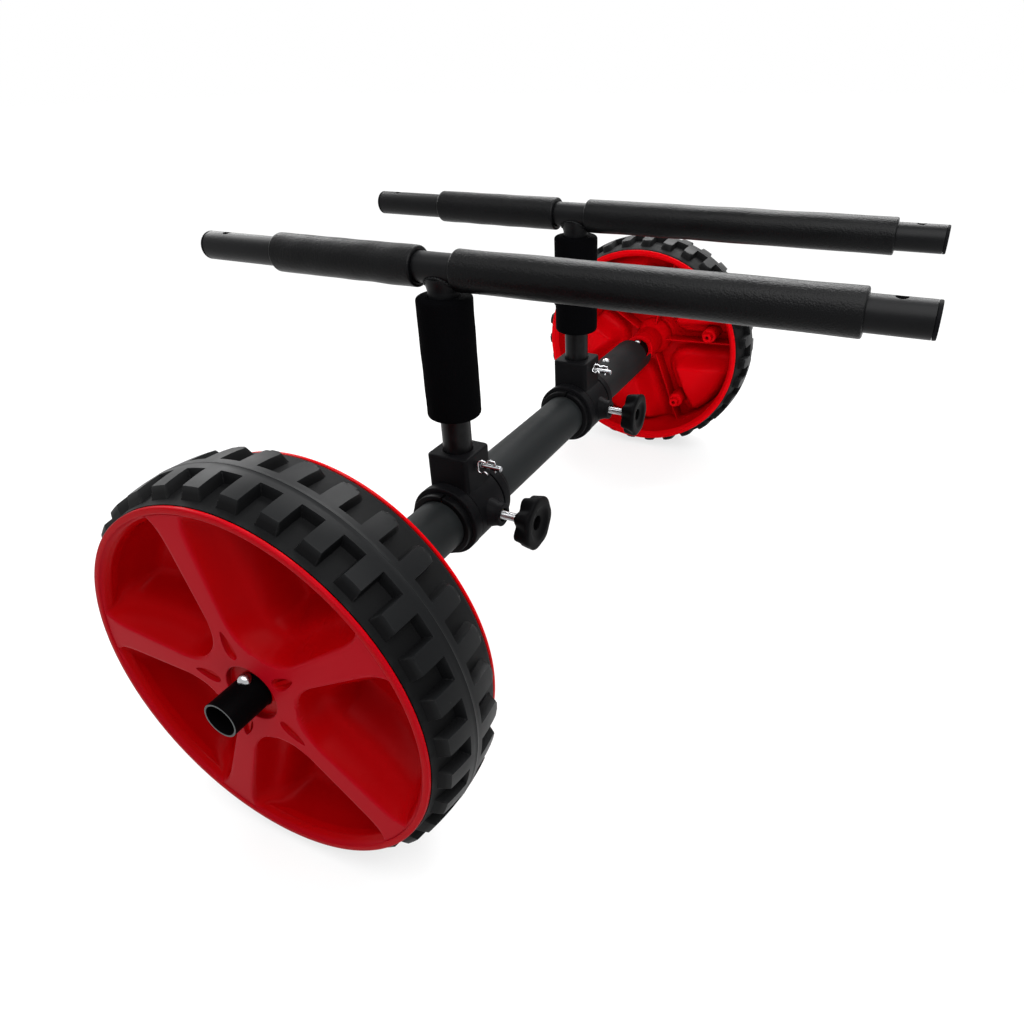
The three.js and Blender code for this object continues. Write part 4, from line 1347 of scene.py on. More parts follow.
@dataclass
class Tyre:
    """The tyre, with two staggered rows of lugs and its outer face at -Y."""

    radius: float = 145.0
    half: float = 35.3
    bead: float = 127.8
    side_radius: float = 133.0
    lugs: int = 31
    lug_height: float = 6.8
    band_half: float = 30.8
    lug_end: float = 26.5
    band_offset: float = 4.5
    crown_fall: float = 4.6
    end_slope: float = 3.2
    crown_half: float = 7.0
    wall_draft: float = 0.9
    end_draft: float = 1.0
    corner: float = 3.2
    seam: float = 0.22
    seam_place: float = 0.65
    seam_width: float = 0.28
    lug_crown_share: float = 0.06
    shoulder_drop: float = 1.4
    shoulder_inset: float = 1.2
    outer_drop: float = 0.7
    side_lean: float = 1.0

    def lug_share(self, around: np.ndarray, across: np.ndarray) -> np.ndarray:
        """Height share of the lugs over the tread.

        The crown band and the two rows of lugs are boxes in plan, the inner row's with
        rounded corners. The signed distance to their union, divided by the wall's
        width, gives a drafted wall whose top edge is eased.

        Args:
            around: distance along the tread, as a column.
            across: place across the tread from its middle, outboard negative, as a row.

        Returns:
            Shares from 0 in the pockets to 1 on the lugs.
        """
        pitch = FULL_TURN * self.radius / self.lugs
        half = pitch / 4
        to_outer_lug = np.abs((around + pitch / 2) % pitch - pitch / 2) - half
        to_inner_lug = np.abs(around % pitch - pitch / 2) - half
        crown = (np.abs(across) - self.crown_half) * self.wall_draft / self.end_draft
        stretch = self.wall_draft * 2 / self.end_slope
        outer_end = (-across - self.lug_end + self.end_slope / 2) * stretch
        inner_end = (across - self.band_half + self.end_slope / 2) * stretch
        outer_row = np.maximum(to_outer_lug, np.maximum(outer_end, across))
        dx, dy = to_inner_lug + self.corner, inner_end + self.corner
        past_corner = np.hypot(np.maximum(dx, 0), np.maximum(dy, 0))
        rounded = past_corner + np.minimum(np.maximum(dx, dy), 0) - self.corner
        inner_row = np.maximum(rounded, -across)
        distance = np.minimum(np.minimum(outer_row, inner_row), crown)
        share = 0.5 - distance / (2 * self.wall_draft)
        eased = np.clip(share, 0, 1)
        bulge = self.lug_crown_share * np.sin(np.pi * eased) * (share < 1.0)
        return eased - bulge * (2 * eased - 1)

    def columns(self) -> np.ndarray:
        """Spaces the columns round the tread, closest together at the lugs' walls.

        Returns:
            Distances along the tread, as a column.
        """
        pitch = FULL_TURN * self.radius / self.lugs
        wall_shares = np.array([-1.5, -1.02, -0.8, 0.0, 0.8, 1.02, 1.5])
        wall = wall_shares * self.wall_draft
        middle = np.linspace(wall[-1], pitch / 2 - wall[-1], 5)[1:-1]
        starts = np.arange(2 * self.lugs) * pitch / 2 + pitch / 4
        return (starts[:, None] + np.concatenate([wall, middle])[None, :]).reshape(-1, 1)

    def rows(self) -> np.ndarray:
        """Spaces the rows across the tread: at the ends of the lugs, the crown and the seam.

        Returns:
            Places from the tread's middle, outboard negative, as a row.
        """
        outer, inner, slope, crown = self.lug_end, self.band_half, self.end_slope, self.crown_half
        wall = self.end_draft * np.array([-1.02, -0.8, 0.0, 0.8, 1.02])
        past_wall = crown + self.end_draft
        steep = slope * np.array([0.12, 0.5, 0.88])
        seam = self.seam_place + np.array([-0.4, -0.2, 0.0, 0.2, 0.4])
        runs = [
            [-inner - 0.01, -outer - 0.4, -outer - 0.01],
            -outer + steep,
            [-outer + slope + 0.15, -outer + slope + 1.0],
            np.linspace(-outer + slope + 3, -past_wall - 1.2, 5),
            -crown + wall,
            [-crown + self.end_draft + 1, -2.5],
            seam,
            [3.0, crown - self.end_draft - 1],
            crown + wall,
            np.linspace(past_wall + 1.2, inner - slope - 3.4, 4),
            inner - slope - np.array([2.4, 1.6, 0.8, 0.15]),
            inner - steep[::-1],
            [inner + 0.01],
        ]
        return np.concatenate(runs)[None, :]

    def shape(self) -> Surface:
        """Joins the whole tyre from section rows and columns round it.

        The tread's radius is the floor's, plus the lug height times the lugs' share,
        plus the seam, a bell curve across the tread, less a fall that grows with the
        square of the place.

        Returns:
            One closed surface.
        """
        around, across = self.columns(), self.rows()
        floor = self.radius - self.lug_height - self.seam
        share = self.lug_share(around, across)
        seam = self.seam * np.exp(-(((across - self.seam_place) / self.seam_width) ** 2))
        places = across - self.band_offset
        fall = self.crown_fall * (places / self.half) ** 2
        tread = floor + self.lug_height * share + seam * share - fall
        inner_edge, outer_edge = floor - fall[0, -1], floor - fall[0, 0]
        corners = [
            (inner_edge, self.band_half - self.band_offset, 0),
            (inner_edge - self.shoulder_drop, self.half - self.shoulder_inset, 2.5),
            (self.side_radius - self.side_lean, self.half, 1.5), (self.bead, self.half, 0.6),
            (self.bead, -self.half, 0.6), (outer_edge - self.outer_drop, -self.half, 0.6),
        ]
        side = softened(corners, closed=False, steps=5)[1:]
        side_r, side_o = (np.broadcast_to(side[None, :, i], (len(around), len(side))) for i in (0, 1))
        radii = np.concatenate([tread, side_r], axis=1)
        outs = np.concatenate([np.broadcast_to(places, tread.shape), side_o], axis=1)
        return Surface.from_grid(on_line(radii, outs, around / self.radius - np.pi / 2, Along.Y))


@dataclass
class Wheel:
    """Hub and tyre of one side."""

    side: Side
    centre: float = 352.5
    hub: Hub = field(default_factory=Hub)
    tyre: Tyre = field(default_factory=Tyre)
    # Depth of the plane that counts as flat, and the depth over which the value fades
    flat_depths: tuple[float, float] = (0.3, 1.4)
    # Share of the lugs' height where their tops begin, and the share over which they fade in
    lug_top_shares: tuple[float, float] = (0.6, 0.3)
    # Lean of a face towards the cart's middle from which it gets the painted back light, and the range of
    # its fade
    back_leans: tuple[float, float] = (-0.1, 0.3)

    def set_out(self, surface: Surface) -> Surface:
        """Turns a shape whose open face is at -Y to this side and moves it there."""
        return surface.turned(Along.Z, self.side.turn + np.pi).moved(y=self.side.value * self.centre)

    def build(self) -> None:
        """Makes the hub, the ribs behind its spokes and the tyre."""
        word, body = self.side.word, f"wheel_{self.side.word}"
        sector = FULL_TURN / self.hub.spokes
        angles = [self.hub.first_spoke + i * sector for i in range(self.hub.spokes)]
        dimples, backs = (
            [self.set_out(shape.turned(Along.Y, -angle)) for angle in angles]
            for shape in (self.hub.dimple(), self.hub.spoke_back())
        )
        hollows = [dimples[0].with_other(*dimples[1:])]
        shape, nodes = self.set_out(self.hub.shape()), [f"wheel_hub_{word}"]
        name = f"spoked_hub_{word}"
        hub = fit_piece(name, shape, RED_WHEEL, body, nodes, sharp_degrees=52, drills=hollows)
        ribs = fit_piece(f"spoke_ribs_{word}", backs[0].with_other(*backs[1:]), RED_WHEEL, body, [])
        for piece in (hub, ribs):
            self.mark_flat(piece)
        shape, node = self.set_out(self.tyre.shape()), f"tyre_{word}"
        tyre = fit_piece(f"lugged_tyre_{word}", shape, TYRE_RUBBER, body, [node], sharp_degrees=34)
        self.mark_lugs(tyre)

    @property
    def sign(self) -> float:
        """1 where the wheel's own axes are the frame's, -1 where they are turned round."""
        return 1.0 if self.side is Side.NEAR else -1.0

    def local(self, piece: Object) -> np.ndarray:
        """Reads a piece's points in the wheel's own axes, with its open face at -Y.

        Args:
            piece: a piece of this wheel.

        Returns:
            Points in millimetres.
        """
        points = local_points(piece)
        points[:, 1] -= self.side.value * self.centre
        return points * np.array([self.sign, self.sign, 1.0])

    def mark_flat(self, piece: Object) -> None:
        """Writes where a hub piece lies on the outer plane and where it faces the cart.

        The first value is 1 on the outer plane of ring, spokes and rim, where the finish paints
        a paler, pinker sheen. The second is 1 where the surface's direction points along the
        axle to the cart's middle, where the finish paints light that brightens the red.

        Args:
            piece: the moulding, or the ribs behind its spokes.
        """
        plane, fade = self.flat_depths
        level = self.hub.half - self.hub.web_recess + self.local(piece)[:, 1]
        write_values(piece, "flat_face", 1 - np.clip((np.abs(level) - plane) / fade, 0, 1))
        normals = np.empty(len(piece.data.vertices) * 3)
        piece.data.vertex_normals.foreach_get("vector", normals)
        start, length = self.back_leans
        write_values(piece, "painted_back_light", smooth_step((normals[1::3] * self.sign - start) / length))

    def mark_lugs(self, piece: Object) -> None:
        """Writes the flat-face value of the tyre: 1 on the lugs' tops, 0 in the pockets.

        Args:
            piece: the tyre.
        """
        # Painted light: this value lets the face tone light the lug tops and leave painted shade in the
        # pockets
        points, tyre = self.local(piece), self.tyre
        fall = tyre.crown_fall * (points[:, 1] / tyre.half) ** 2
        height = np.hypot(points[:, 0], points[:, 2]) - (tyre.radius - tyre.lug_height - fall)
        start_share, length_share = self.lug_top_shares
        share = (height / tyre.lug_height - start_share) / length_share
        write_values(piece, "flat_face", np.clip(share, 0, 1))


# Clamps


@dataclass
class Clamp:
    """Liner, collar, screw and star knob that hold one bunk to the axle."""

    side: Side
    place: float
    drum_radius: float = 31.5
    groove_depth: float = 1.3
    groove_width: float = 1.0
    groove_draft: float = 0.2
    flange_radius: float = 32.0
    flange_width: float = 10.0
    drum_half: float = 30.0
    bore: float = 25.3
    socket_half: float = 19.5
    socket_top: float = 57.0
    socket_floor: float = 28.0
    socket_corner: float = 4.0
    socket_bore: float = 12.8
    socket_foot: float = 27.4
    socket_wall_start: float = 32.0
    socket_wall_gap: float = 2.2
    socket_ease: float = 1.8
    mouth_land: float = 1.0
    mouth_ease: float = 0.8
    pin_hole: float = 2.8
    pin_height: float = 45.0
    pin_drill_reach: float = 25.0
    boss_start: float = 26.0
    boss_dome: float = 0.4
    boss_shoulder: float = 31.0
    boss_neck: float = 37.0
    boss_floor: float = 30.8
    boss_reach: float = 41.5
    boss_end: float = 10.5
    boss_root: float = 12.8
    boss_draft: float = 1.5
    insert_radius: float = 5.8
    insert_bore: float = 4.15
    insert_gap: float = 0.2
    insert_start: float = 31.1
    insert_end: float = 38.4
    liner_radius: float = 25.0
    liner_bore: float = 23.3
    liner_half: float = 37.0
    lip_radius: float = 28.0
    lip_width: float = 6.6
    split_angle: float = np.radians(8.0)
    split_width: float = 2.0
    screw_radius: float = 4.0
    screw_pitch: float = 1.25
    screw_play: float = 0.08
    screw_gap: float = 0.2
    screw_grip: float = 9.0
    thread_depth: float = 0.62
    tip_drop: float = 0.5
    tip_length: float = 1.2
    knob_start: float = 58.6
    knob_radius: float = 24.8
    knob_thickness: float = 18.4
    knob_bore: float = 4.4
    knob_bore_depth: float = 9.3
    knob_neck: float = 10.0
    knob_neck_height: float = 2.6
    knob_back: float = 22.6
    knob_back_height: float = 3.0
    dish_radius: float = 15.5
    dish_foot: float = 11.0
    dish_depth: float = 2.2
    eye_radius: float = 6.4
    eye_foot: float = 5.8
    eye_place: float = 3.0
    eye_depth: float = 9.0
    knob_lobes: int = 7
    knob_lobe_depth: float = 5.2
    knob_lobe_power: float = 1.15
    knob_first_lobe: float = np.radians(46.0)
    lobe_start: float = 15.0
    lobe_length: float = 6.0
    lobe_fade_share: float = 0.8
    fade_start_share: float = 0.35

    def drum(self) -> Surface:
        """Turns the ring with its two flanges and a fine groove inside each flange.

        Returns:
            The drum as a closed surface.
        """
        flange_end = self.flange_width - self.drum_half
        groove, groove_end = self.drum_radius - self.groove_depth, flange_end + self.groove_width
        first_half = [
            (self.bore, -self.drum_half, 0.5), (self.flange_radius, -self.drum_half, 1.3),
            (self.flange_radius, flange_end, 0.5), (groove, flange_end, 0.2),
            (groove, groove_end, 0.2), (self.drum_radius, groove_end + self.groove_draft, 0.4),
        ]
        return turned_shape(mirrored(first_half), Along.Y, 120)

    def socket_plan(self) -> np.ndarray:
        """Joins four quarter circles by even steps into a square with rounded corners.

        Returns:
            Points of shape (n, 2) round the square.
        """
        centres = (self.socket_half - self.socket_corner) * np.array([(1, 1), (-1, 1), (-1, -1), (1, -1)])
        turns = np.linspace(0, np.pi / 2, 10) + np.arange(4)[:, None] * np.pi / 2
        circles = np.stack([np.cos(turns), np.sin(turns)], axis=-1)
        arcs = centres[:, None] + self.socket_corner * circles
        starts, ends = arcs[:, -1:], np.roll(arcs[:, :1], -1, axis=0)
        sides = starts + (ends - starts) * np.linspace(0, 1, 12)[1:-1, None]
        return np.concatenate([arcs, sides], axis=1).reshape(-1, 2)

    def socket(self) -> Surface:
        """The square block: a rounded-square section from inside the drum to the mouth.

        The section is a square whose corners are rounded, the same at every level but
        for the eased top edge. The foot follows the drum's curve, z squared plus x
        squared being constant, and the mouth goes down a round bore to its floor.

        Returns:
            The block as a closed surface.
        """
        plan, top, ease = self.socket_plan(), self.socket_top, self.socket_ease
        angle = np.arctan2(plan[:, 1], plan[:, 0])
        circle = np.stack([np.cos(angle), np.sin(angle)], axis=1)
        rows = []

        def add(points: np.ndarray, level: float | np.ndarray) -> None:
            """Adds one ring of points at its level."""
            rows.append(np.column_stack([points, np.broadcast_to(level, len(points))]))

        for share in np.linspace(0, 1, 9):
            add(plan * share, np.sqrt(self.socket_foot**2 - (plan[:, 0] * share) ** 2))
        for level in np.linspace(self.socket_wall_start, top - self.socket_wall_gap, 6):
            add(plan, level)
        for turn in np.linspace(0, np.pi / 2, 7):
            shrink = 1 - (ease * (1 - np.cos(turn))) / self.socket_half
            add(plan * shrink, top - ease + ease * np.sin(turn))
        for share in (0.35, 0.75):
            square = plan * (1 - ease / self.socket_half) * (1 - share)
            add(square + circle * (self.socket_bore + self.mouth_land) * share, top)
        for turn in np.linspace(0, np.pi / 2, 5):
            radius = self.socket_bore + self.mouth_ease * (1 - np.sin(turn))
            add(circle * radius, top - self.mouth_ease * (1 - np.cos(turn)))
        add(circle * self.socket_bore, self.socket_floor)
        add(circle * 0, self.socket_floor)
        return Surface.from_grid(np.stack(rows, axis=1), True, False)

    def boss(self) -> Surface:
        """Turns the screw boss: a flared root, a straight neck and a rounded end with its bore.

        Returns:
            The boss as a closed surface.
        """
        bore = self.insert_radius + self.insert_gap
        corners = [
            (0, self.boss_start + self.boss_dome, 0),
            (self.boss_root + self.boss_draft, self.boss_start, 0),
            (self.boss_root, self.boss_shoulder, 3.0), (self.boss_end, self.boss_neck, 3.0),
            (self.boss_end, self.boss_reach, 1.2), (bore, self.boss_reach, 0.5),
            (bore, self.boss_floor, 0), (0, self.boss_floor, 0),
        ]
        return turned_shape(corners, Along.X, 64, closed=False, steps=5)

    def liner(self) -> Surface:
        """Turns the split sleeve's lipped outline through all but the split.

        Returns:
            The sleeve, open at the two faces of the split.
        """
        lip_end = self.lip_width - self.liner_half
        first_half = [
            (self.liner_bore, -self.liner_half, 0.5), (self.lip_radius, -self.liner_half, 0.9),
            (self.lip_radius, lip_end, 0.4), (self.liner_radius, lip_end, 0),
        ]
        outline = softened(mirrored(first_half), closed=True, steps=3)
        gap = self.split_width / 2 / self.lip_radius
        top = np.pi / 2 - self.split_angle
        angle = np.linspace(top + gap, top + FULL_TURN - gap, 110)[:, None]
        grid = on_line(outline[None, :, 0], outline[None, :, 1], angle, Along.Y)
        return Surface.from_grid(grid, False, True)

    def screw(self) -> Surface:
        """The threaded stud: its radius follows a wave along a screw line.

        The radius at angle a and place x is the outer radius less a share of the
        thread's depth, the share being a softened triangle wave of x over the pitch
        less a over a full turn.

        Returns:
            The stud as a closed surface.
        """
        start, end = self.bore + self.screw_gap, self.knob_start + self.screw_grip
        x = np.linspace(start, end, int((end - start) / self.screw_pitch * 8))[None, :]
        angle = np.linspace(0, FULL_TURN, 28, endpoint=False)[:, None]
        phase = (x / self.screw_pitch - angle / FULL_TURN) % 1.0
        thread = self.thread_depth * smooth_step(np.abs(2 * phase - 1))
        ends = smooth_step((x - start) / self.tip_length) * smooth_step((end - x) / self.tip_length)
        radius = self.screw_radius - self.screw_play - thread - self.tip_drop * (1 - ends)
        poles = np.zeros(angle.shape)
        radius = np.concatenate([poles, radius, poles], axis=1)
        x = np.concatenate([x[:, :1], x, x[:, -1:]], axis=1)
        return Surface.from_grid(on_line(radius, x, angle, Along.X), True, False)

    def knob(self) -> Surface:
        """The star knob: a lobed section blended to round at the neck, dish and eye.

        The section's radius at angle a is the full radius less the lobe depth times
        one minus a raised cosine of a times the number of lobes, to a power. The
        lobes fade towards the front face.

        Returns:
            The knob as a closed surface.
        """
        thickness, full = self.knob_thickness, self.knob_radius
        eye_floor = thickness - self.eye_depth
        corners = [
            (0, self.knob_bore_depth, 0), (self.knob_bore, self.knob_bore_depth, 0),
            (self.knob_bore, 0, 0.3), (self.knob_neck, 0, 0.5),
            (self.knob_neck, self.knob_neck_height, 0.4),
            (self.knob_back, self.knob_back_height, 3.0), (full, thickness, 4.6),
            (self.dish_radius, thickness, 1.5), (self.dish_foot, thickness - self.dish_depth, 2.0),
            (self.eye_radius, thickness - self.eye_place, 0.6), (self.eye_foot, eye_floor, 0.4),
            (0, eye_floor, 0),
        ]
        outline = softened(corners, closed=False, steps=6)
        radius, place = outline[None, :, 0], outline[None, :, 1]
        angle = np.linspace(0, FULL_TURN, self.knob_lobes * 24, endpoint=False)[:, None]
        wave = (1 + np.cos(self.knob_lobes * (angle - self.knob_first_lobe))) / 2
        lobed = full - self.knob_lobe_depth * (1 - wave) ** self.knob_lobe_power
        fade_start = self.fade_start_share * thickness
        fade = self.lobe_fade_share * smooth_step((place - fade_start) / (thickness - fade_start))
        share = smooth_step((radius - self.lobe_start) / self.lobe_length) * (1 - fade)
        drawn = radius * (1 - share) + (radius - full + lobed) * share
        grid = on_line(drawn, place + self.knob_start, np.pi / 2 - angle, Along.X)
        return Surface.from_grid(grid, True, False)

    def build(self) -> None:
        """Makes liner, collar, insert, screw and knob."""
        reach = self.pin_drill_reach
        hole = drill_shape(self.pin_hole, -reach, reach, Along.X, 32).moved(y=self.place, z=self.pin_height)
        ends = (self.insert_start, self.insert_end)
        insert = tube_shape(self.insert_bore, self.insert_radius, *ends, Along.X, 48)
        pieces = [
            ("split_liner", self.liner(), LINER_PLASTIC, "liner", "collar_liner", {"close_ends": True}),
            ("upright_socket", self.socket(), CLAMP_PLASTIC, "bunk", "clamp_collar",
             {"drills": [hole], "sharp_degrees": 45}),
            ("clamp_drum", self.drum(), CLAMP_PLASTIC, "bunk", "", {}),
            ("screw_boss", self.boss(), CLAMP_PLASTIC, "bunk", "", {}),
            ("threaded_insert", insert, TURNED_BRASS, "bunk", "screw_insert", {}),
            ("threaded_stud", self.screw(), BRIGHT_ZINC, "screw", "clamp_screw", {"sharp_degrees": 70}),
            ("lobed_knob", self.knob(), KNOB_PLASTIC, "knob", "star_knob", {"sharp_degrees": 42}),
        ]
        word = self.side.word
        for name, shape, finish, body, node, more in pieces:
            nodes = [f"{node}_{word}"] if node else []
            fit_piece(f"{name}_{word}", shape.moved(y=self.place), finish, f"{body}_{word}", nodes, **more)


@dataclass
class Hitch:
    """The pin across the socket and the bent wire that keeps it."""

    side: Side
    place: float
    turn: float
    height: float = 45.0
    radius: float = 2.5
    head_radius: float = 5.0
    head_thickness: float = 3.5
    head_end: float = -19.8
    tip: float = 42.0
    chamfer: float = 0.9
    wire: float = 0.9
    hole_radius: float = 1.2
    hole_reach: float = 8.0
    hole_x: float = 35.5
    leg: float = 5.0
    reach: float = 14.0
    rise: float = 5.6
    standoff: float = 4.1
    tip_steps: float = 2.0
    tip_share: float = 0.02

    def pin(self) -> Surface:
        """Turns the pin's head, shank and chamfered tip.

        Returns:
            The pin as a closed surface.
        """
        head_start = self.head_end - self.head_thickness
        corners = [
            (0, head_start, 0), (self.head_radius, head_start, 1.0),
            (self.head_radius, self.head_end, 0.5), (self.radius, self.head_end, 0.2),
            (self.radius, self.tip - self.chamfer, 0.3),
            (self.radius - self.chamfer, self.tip, 0.3), (0, self.tip, 0),
        ]
        return turned_shape(corners, Along.X, 40, closed=False)

    def clip(self) -> Surface:
        """Wire that stands in the cross hole, runs back above the pin and returns below.

        The route is written in shares of the clip's reach, standoff and rise. The
        wire's radius draws in as a root over the last steps at both ends.

        Returns:
            The wire, open at its two tips.
        """
        route_shares = [
            (0.12, 0.05, 1.0), (0.34, 0.15, 1.08), (0.56, 0.35, 0.78), (0.78, 0.6, 1.0),
            (1.0, 0.9, 0.8), (1.0, 1.0, 0.0), (1.0, 1.0, -0.7), (0.76, 1.0, -0.92),
            (0.56, 1.0, -0.62), (0.34, 1.0, -1.0),
        ]
        route = np.array(route_shares) * np.array([-self.reach, -self.standoff, self.rise])
        stem = np.array([(0, 0, -self.leg), (0, 0, 0), (0, 0, self.leg)])
        path = eased_path(np.concatenate([stem, route]) + np.array([self.hole_x, 0, 0]), 9)
        run = np.linspace(0, 1, len(path))
        near_end = np.minimum(run, 1 - run) * (len(path) - 1)
        radius = self.wire * np.sqrt(np.clip(near_end / self.tip_steps, self.tip_share, 1))
        return swept(path, radius, 14)

    def set_out(self, surface: Surface) -> Surface:
        """Turns a shape about the pin's line and moves it to its socket."""
        return surface.turned(Along.X, self.turn).moved(y=self.place, z=self.height)

    def build(self) -> None:
        """Makes the pin and the clip."""
        word, body = self.side.word, f"hitch_{self.side.word}"
        cross = drill_shape(self.hole_radius, -self.hole_reach, self.hole_reach, Along.Z, 24)
        drills = [self.set_out(cross.moved(x=self.hole_x))]
        pin, node = self.set_out(self.pin()), f"hitch_pin_{word}"
        fit_piece(f"round_pin_{word}", pin, PIN_ZINC, body, [node], drills=drills)
        clip, node = self.set_out(self.clip()), f"hitch_clip_{word}"
        fit_piece(f"wire_clip_{word}", clip, BRIGHT_ZINC, body, [node], close_ends=True, sharp_degrees=60)


# Bunks


@dataclass
class Bunk:
    """Upright, cross tube, foam sleeves and end caps of one side."""

    side: Side
    place: float
    seed: int
    upright_radius: float = 12.5
    upright_bore: float = 11.0
    upright_start: float = 28.3
    flare: float = 1.5
    flare_start: float = 191.8
    flare_end: float = 203.3
    saddle_gap: float = 0.1
    edge: float = 0.5
    height: float = 209.3
    tube_radius: float = 12.0
    tube_bore: float = 10.5
    back: float = -240.0
    front: float = 346.0
    cap: float = 2.5
    cap_plug: float = 14.0
    cap_dome: float = 0.15
    cap_gap: float = 0.3
    hole_inset: float = 20.0
    hole_radius: float = 4.0
    weld_radius: float = 1.45
    weld_reach: float = 13.6
    weld_lift: float = 0.35
    weld_half_angle: float = np.radians(66.0)
    weld_ripple: float = 0.16
    weld_ripples: int = 34
    weld_drift: float = 0.12
    pad_bore: float = 12.8
    pad_radius: float = 22.6
    pad_start: float = 88.6
    pad_end: float = 189.0
    pad_rounding: float = 3.2
    foam_bore: float = 12.3
    foam_radius: float = 16.0
    foam_rounding: float = 1.6
    foam_ends: dict[str, tuple[float, float]] = field(
        default_factory=lambda: {"short": (-159.0, -20.0), "long": (14.5, 305.0)}
    )
    foam_sink: float = 0.12
    foam_step: float = 3.0
    mouth_depth: float = 0.5
    mouth_chamfer: float = 0.35
    swell_heights: tuple[float, float] = (0.03, 0.08)
    swell_waves: tuple[float, float] = (0.5, 5.0)
    swell_phases: tuple[float, float] = (0.0, 6.0)
    swell_turns: tuple[int, ...] = (0, 1, 1, 2, 2, 3)

    def upright_top(self, radius: float, angle: np.ndarray) -> np.ndarray:
        """Levels of the upright's top edge, which follows the cross tube.

        The level at a point is the cross tube's middle less the root of its radius
        squared less the point's Y squared, held below the flare's end.

        Args:
            radius: radius of the edge.
            angle: angles about the upright.

        Returns:
            The levels there.
        """
        gap = self.tube_radius + self.saddle_gap
        saddle = self.height - np.sqrt(np.clip(gap**2 - (radius * np.sin(angle)) ** 2, 0, None))
        return np.minimum(saddle, self.flare_end)

    def upright(self) -> Surface:
        """Joins a tube whose flared top edge follows the cross tube.

        Returns:
            The tube's wall as a closed surface.
        """
        angle = np.linspace(0, FULL_TURN, 96, endpoint=False)[:, None]
        ones = np.ones_like(angle)
        share = np.linspace(0, 1, 14)[None, :]
        outer_top = self.upright_top(self.upright_radius + self.flare, angle)
        rise = self.flare_start + (outer_top - self.flare_start) * share
        outer = ones * (self.upright_radius + self.flare * smooth_step(share))
        foot, bore = self.upright_start, ones * self.upright_bore
        foot_levels = ones * np.array([[foot, foot + self.edge]])
        foot_radii = ones * np.array([[self.upright_radius - self.edge, self.upright_radius]])
        inner_top = self.upright_top(self.upright_bore, angle)
        levels = np.concatenate([foot_levels, rise, inner_top, ones * foot], axis=1)
        radii = np.concatenate([foot_radii, outer, bore, bore], axis=1)
        return Surface.from_grid(on_line(radii, levels, angle, Along.Z))

    def weld(self) -> Surface:
        """The weld bead: a rippled round section on the saddle line of the two tubes.

        Returns:
            The bead as a closed ring.
        """
        angle = np.linspace(0, FULL_TURN, 260, endpoint=False)
        lean = self.weld_half_angle * np.sin(angle)
        around = self.tube_radius + self.weld_lift
        line = [self.weld_reach * np.cos(angle), around * np.sin(lean), self.height - around * np.cos(lean)]
        ripple = self.weld_ripple * np.cos(self.weld_ripples * angle)
        radius = self.weld_radius + ripple + self.weld_drift * np.cos(3 * angle + 1.0)
        return swept(np.column_stack(line), radius, 14, closed=True)

    def foam(
        self, bore: float, radius: float, start: float, end: float, rounding: float, axis: Along, seed: int
    ) -> Surface:
        """A foam sleeve: a rounded sleeve whose skin swells and dips slightly.

        The skin's radius has a few slow waves along and round it, their heights,
        lengths and phases from a seeded draw, and it draws in towards the ends.

        Args:
            bore: inner radius.
            radius: outer radius.
            start: place of the first end.
            end: place of the other end.
            rounding: rounding of the outer end edges.
            axis: line of the sleeve.
            seed: seed of the draw.

        Returns:
            The sleeve as a closed surface.
        """
        draw = np.random.default_rng(seed)
        quarter = np.linspace(0, np.pi / 2, 7)
        length = end - start
        flat = np.linspace(start + rounding, end - rounding, int(length / self.foam_step))[1:-1]
        first, last = start + rounding * (1 - np.sin(quarter[::-1])), end - rounding * (1 - np.sin(quarter))
        along = np.concatenate([first, flat, last])
        inset = rounding * (1 - np.cos(quarter))
        skin = radius - np.concatenate([inset[::-1], np.zeros(len(flat)), inset])
        angle = np.linspace(0, FULL_TURN, 96, endpoint=False)[:, None]
        swell = 0
        for turns in self.swell_turns:
            limits = (self.swell_heights, self.swell_waves, self.swell_phases)
            height, waves, phase = (draw.uniform(low, high) for low, high in limits)
            run = FULL_TURN * waves * (along[None] - start) / length
            swell = swell + height * np.sin(run + turns * angle + phase)
        ones = np.ones_like(angle)
        mouth_places = np.array([[self.mouth_depth, self.mouth_depth - self.mouth_chamfer]])
        mouth_radii = np.array([[bore, bore + self.mouth_chamfer]])
        near, far = start + mouth_places, end - mouth_places[:, ::-1]
        places = np.concatenate([ones * near, ones * along[None], ones * far], axis=1)
        outer = skin[None] + swell - self.foam_sink
        radii = np.concatenate([ones * mouth_radii, outer, ones * mouth_radii[:, ::-1]], axis=1)
        return Surface.from_grid(on_line(radii, places, angle, axis))

    def end_cap(self, place: float, direction: int) -> Surface:
        """Turns a plug with a rounded flange that ends at a place along X.

        Args:
            place: the bunk's end.
            direction: 1 at the front end, -1 at the back.

        Returns:
            The cap as a closed surface.
        """
        joint = place - direction * self.cap
        plug, plug_radius = joint - direction * self.cap_plug, self.tube_bore - self.cap_gap
        corners = [
            (0, plug, 0), (plug_radius, plug, 0.8), (plug_radius, joint, 0.1),
            (self.tube_radius, joint, 0.3), (self.tube_radius, place, 1.1),
            (0, place - direction * self.cap_dome, 0),
        ]
        return turned_shape(corners, Along.X, 72, closed=False, steps=5)

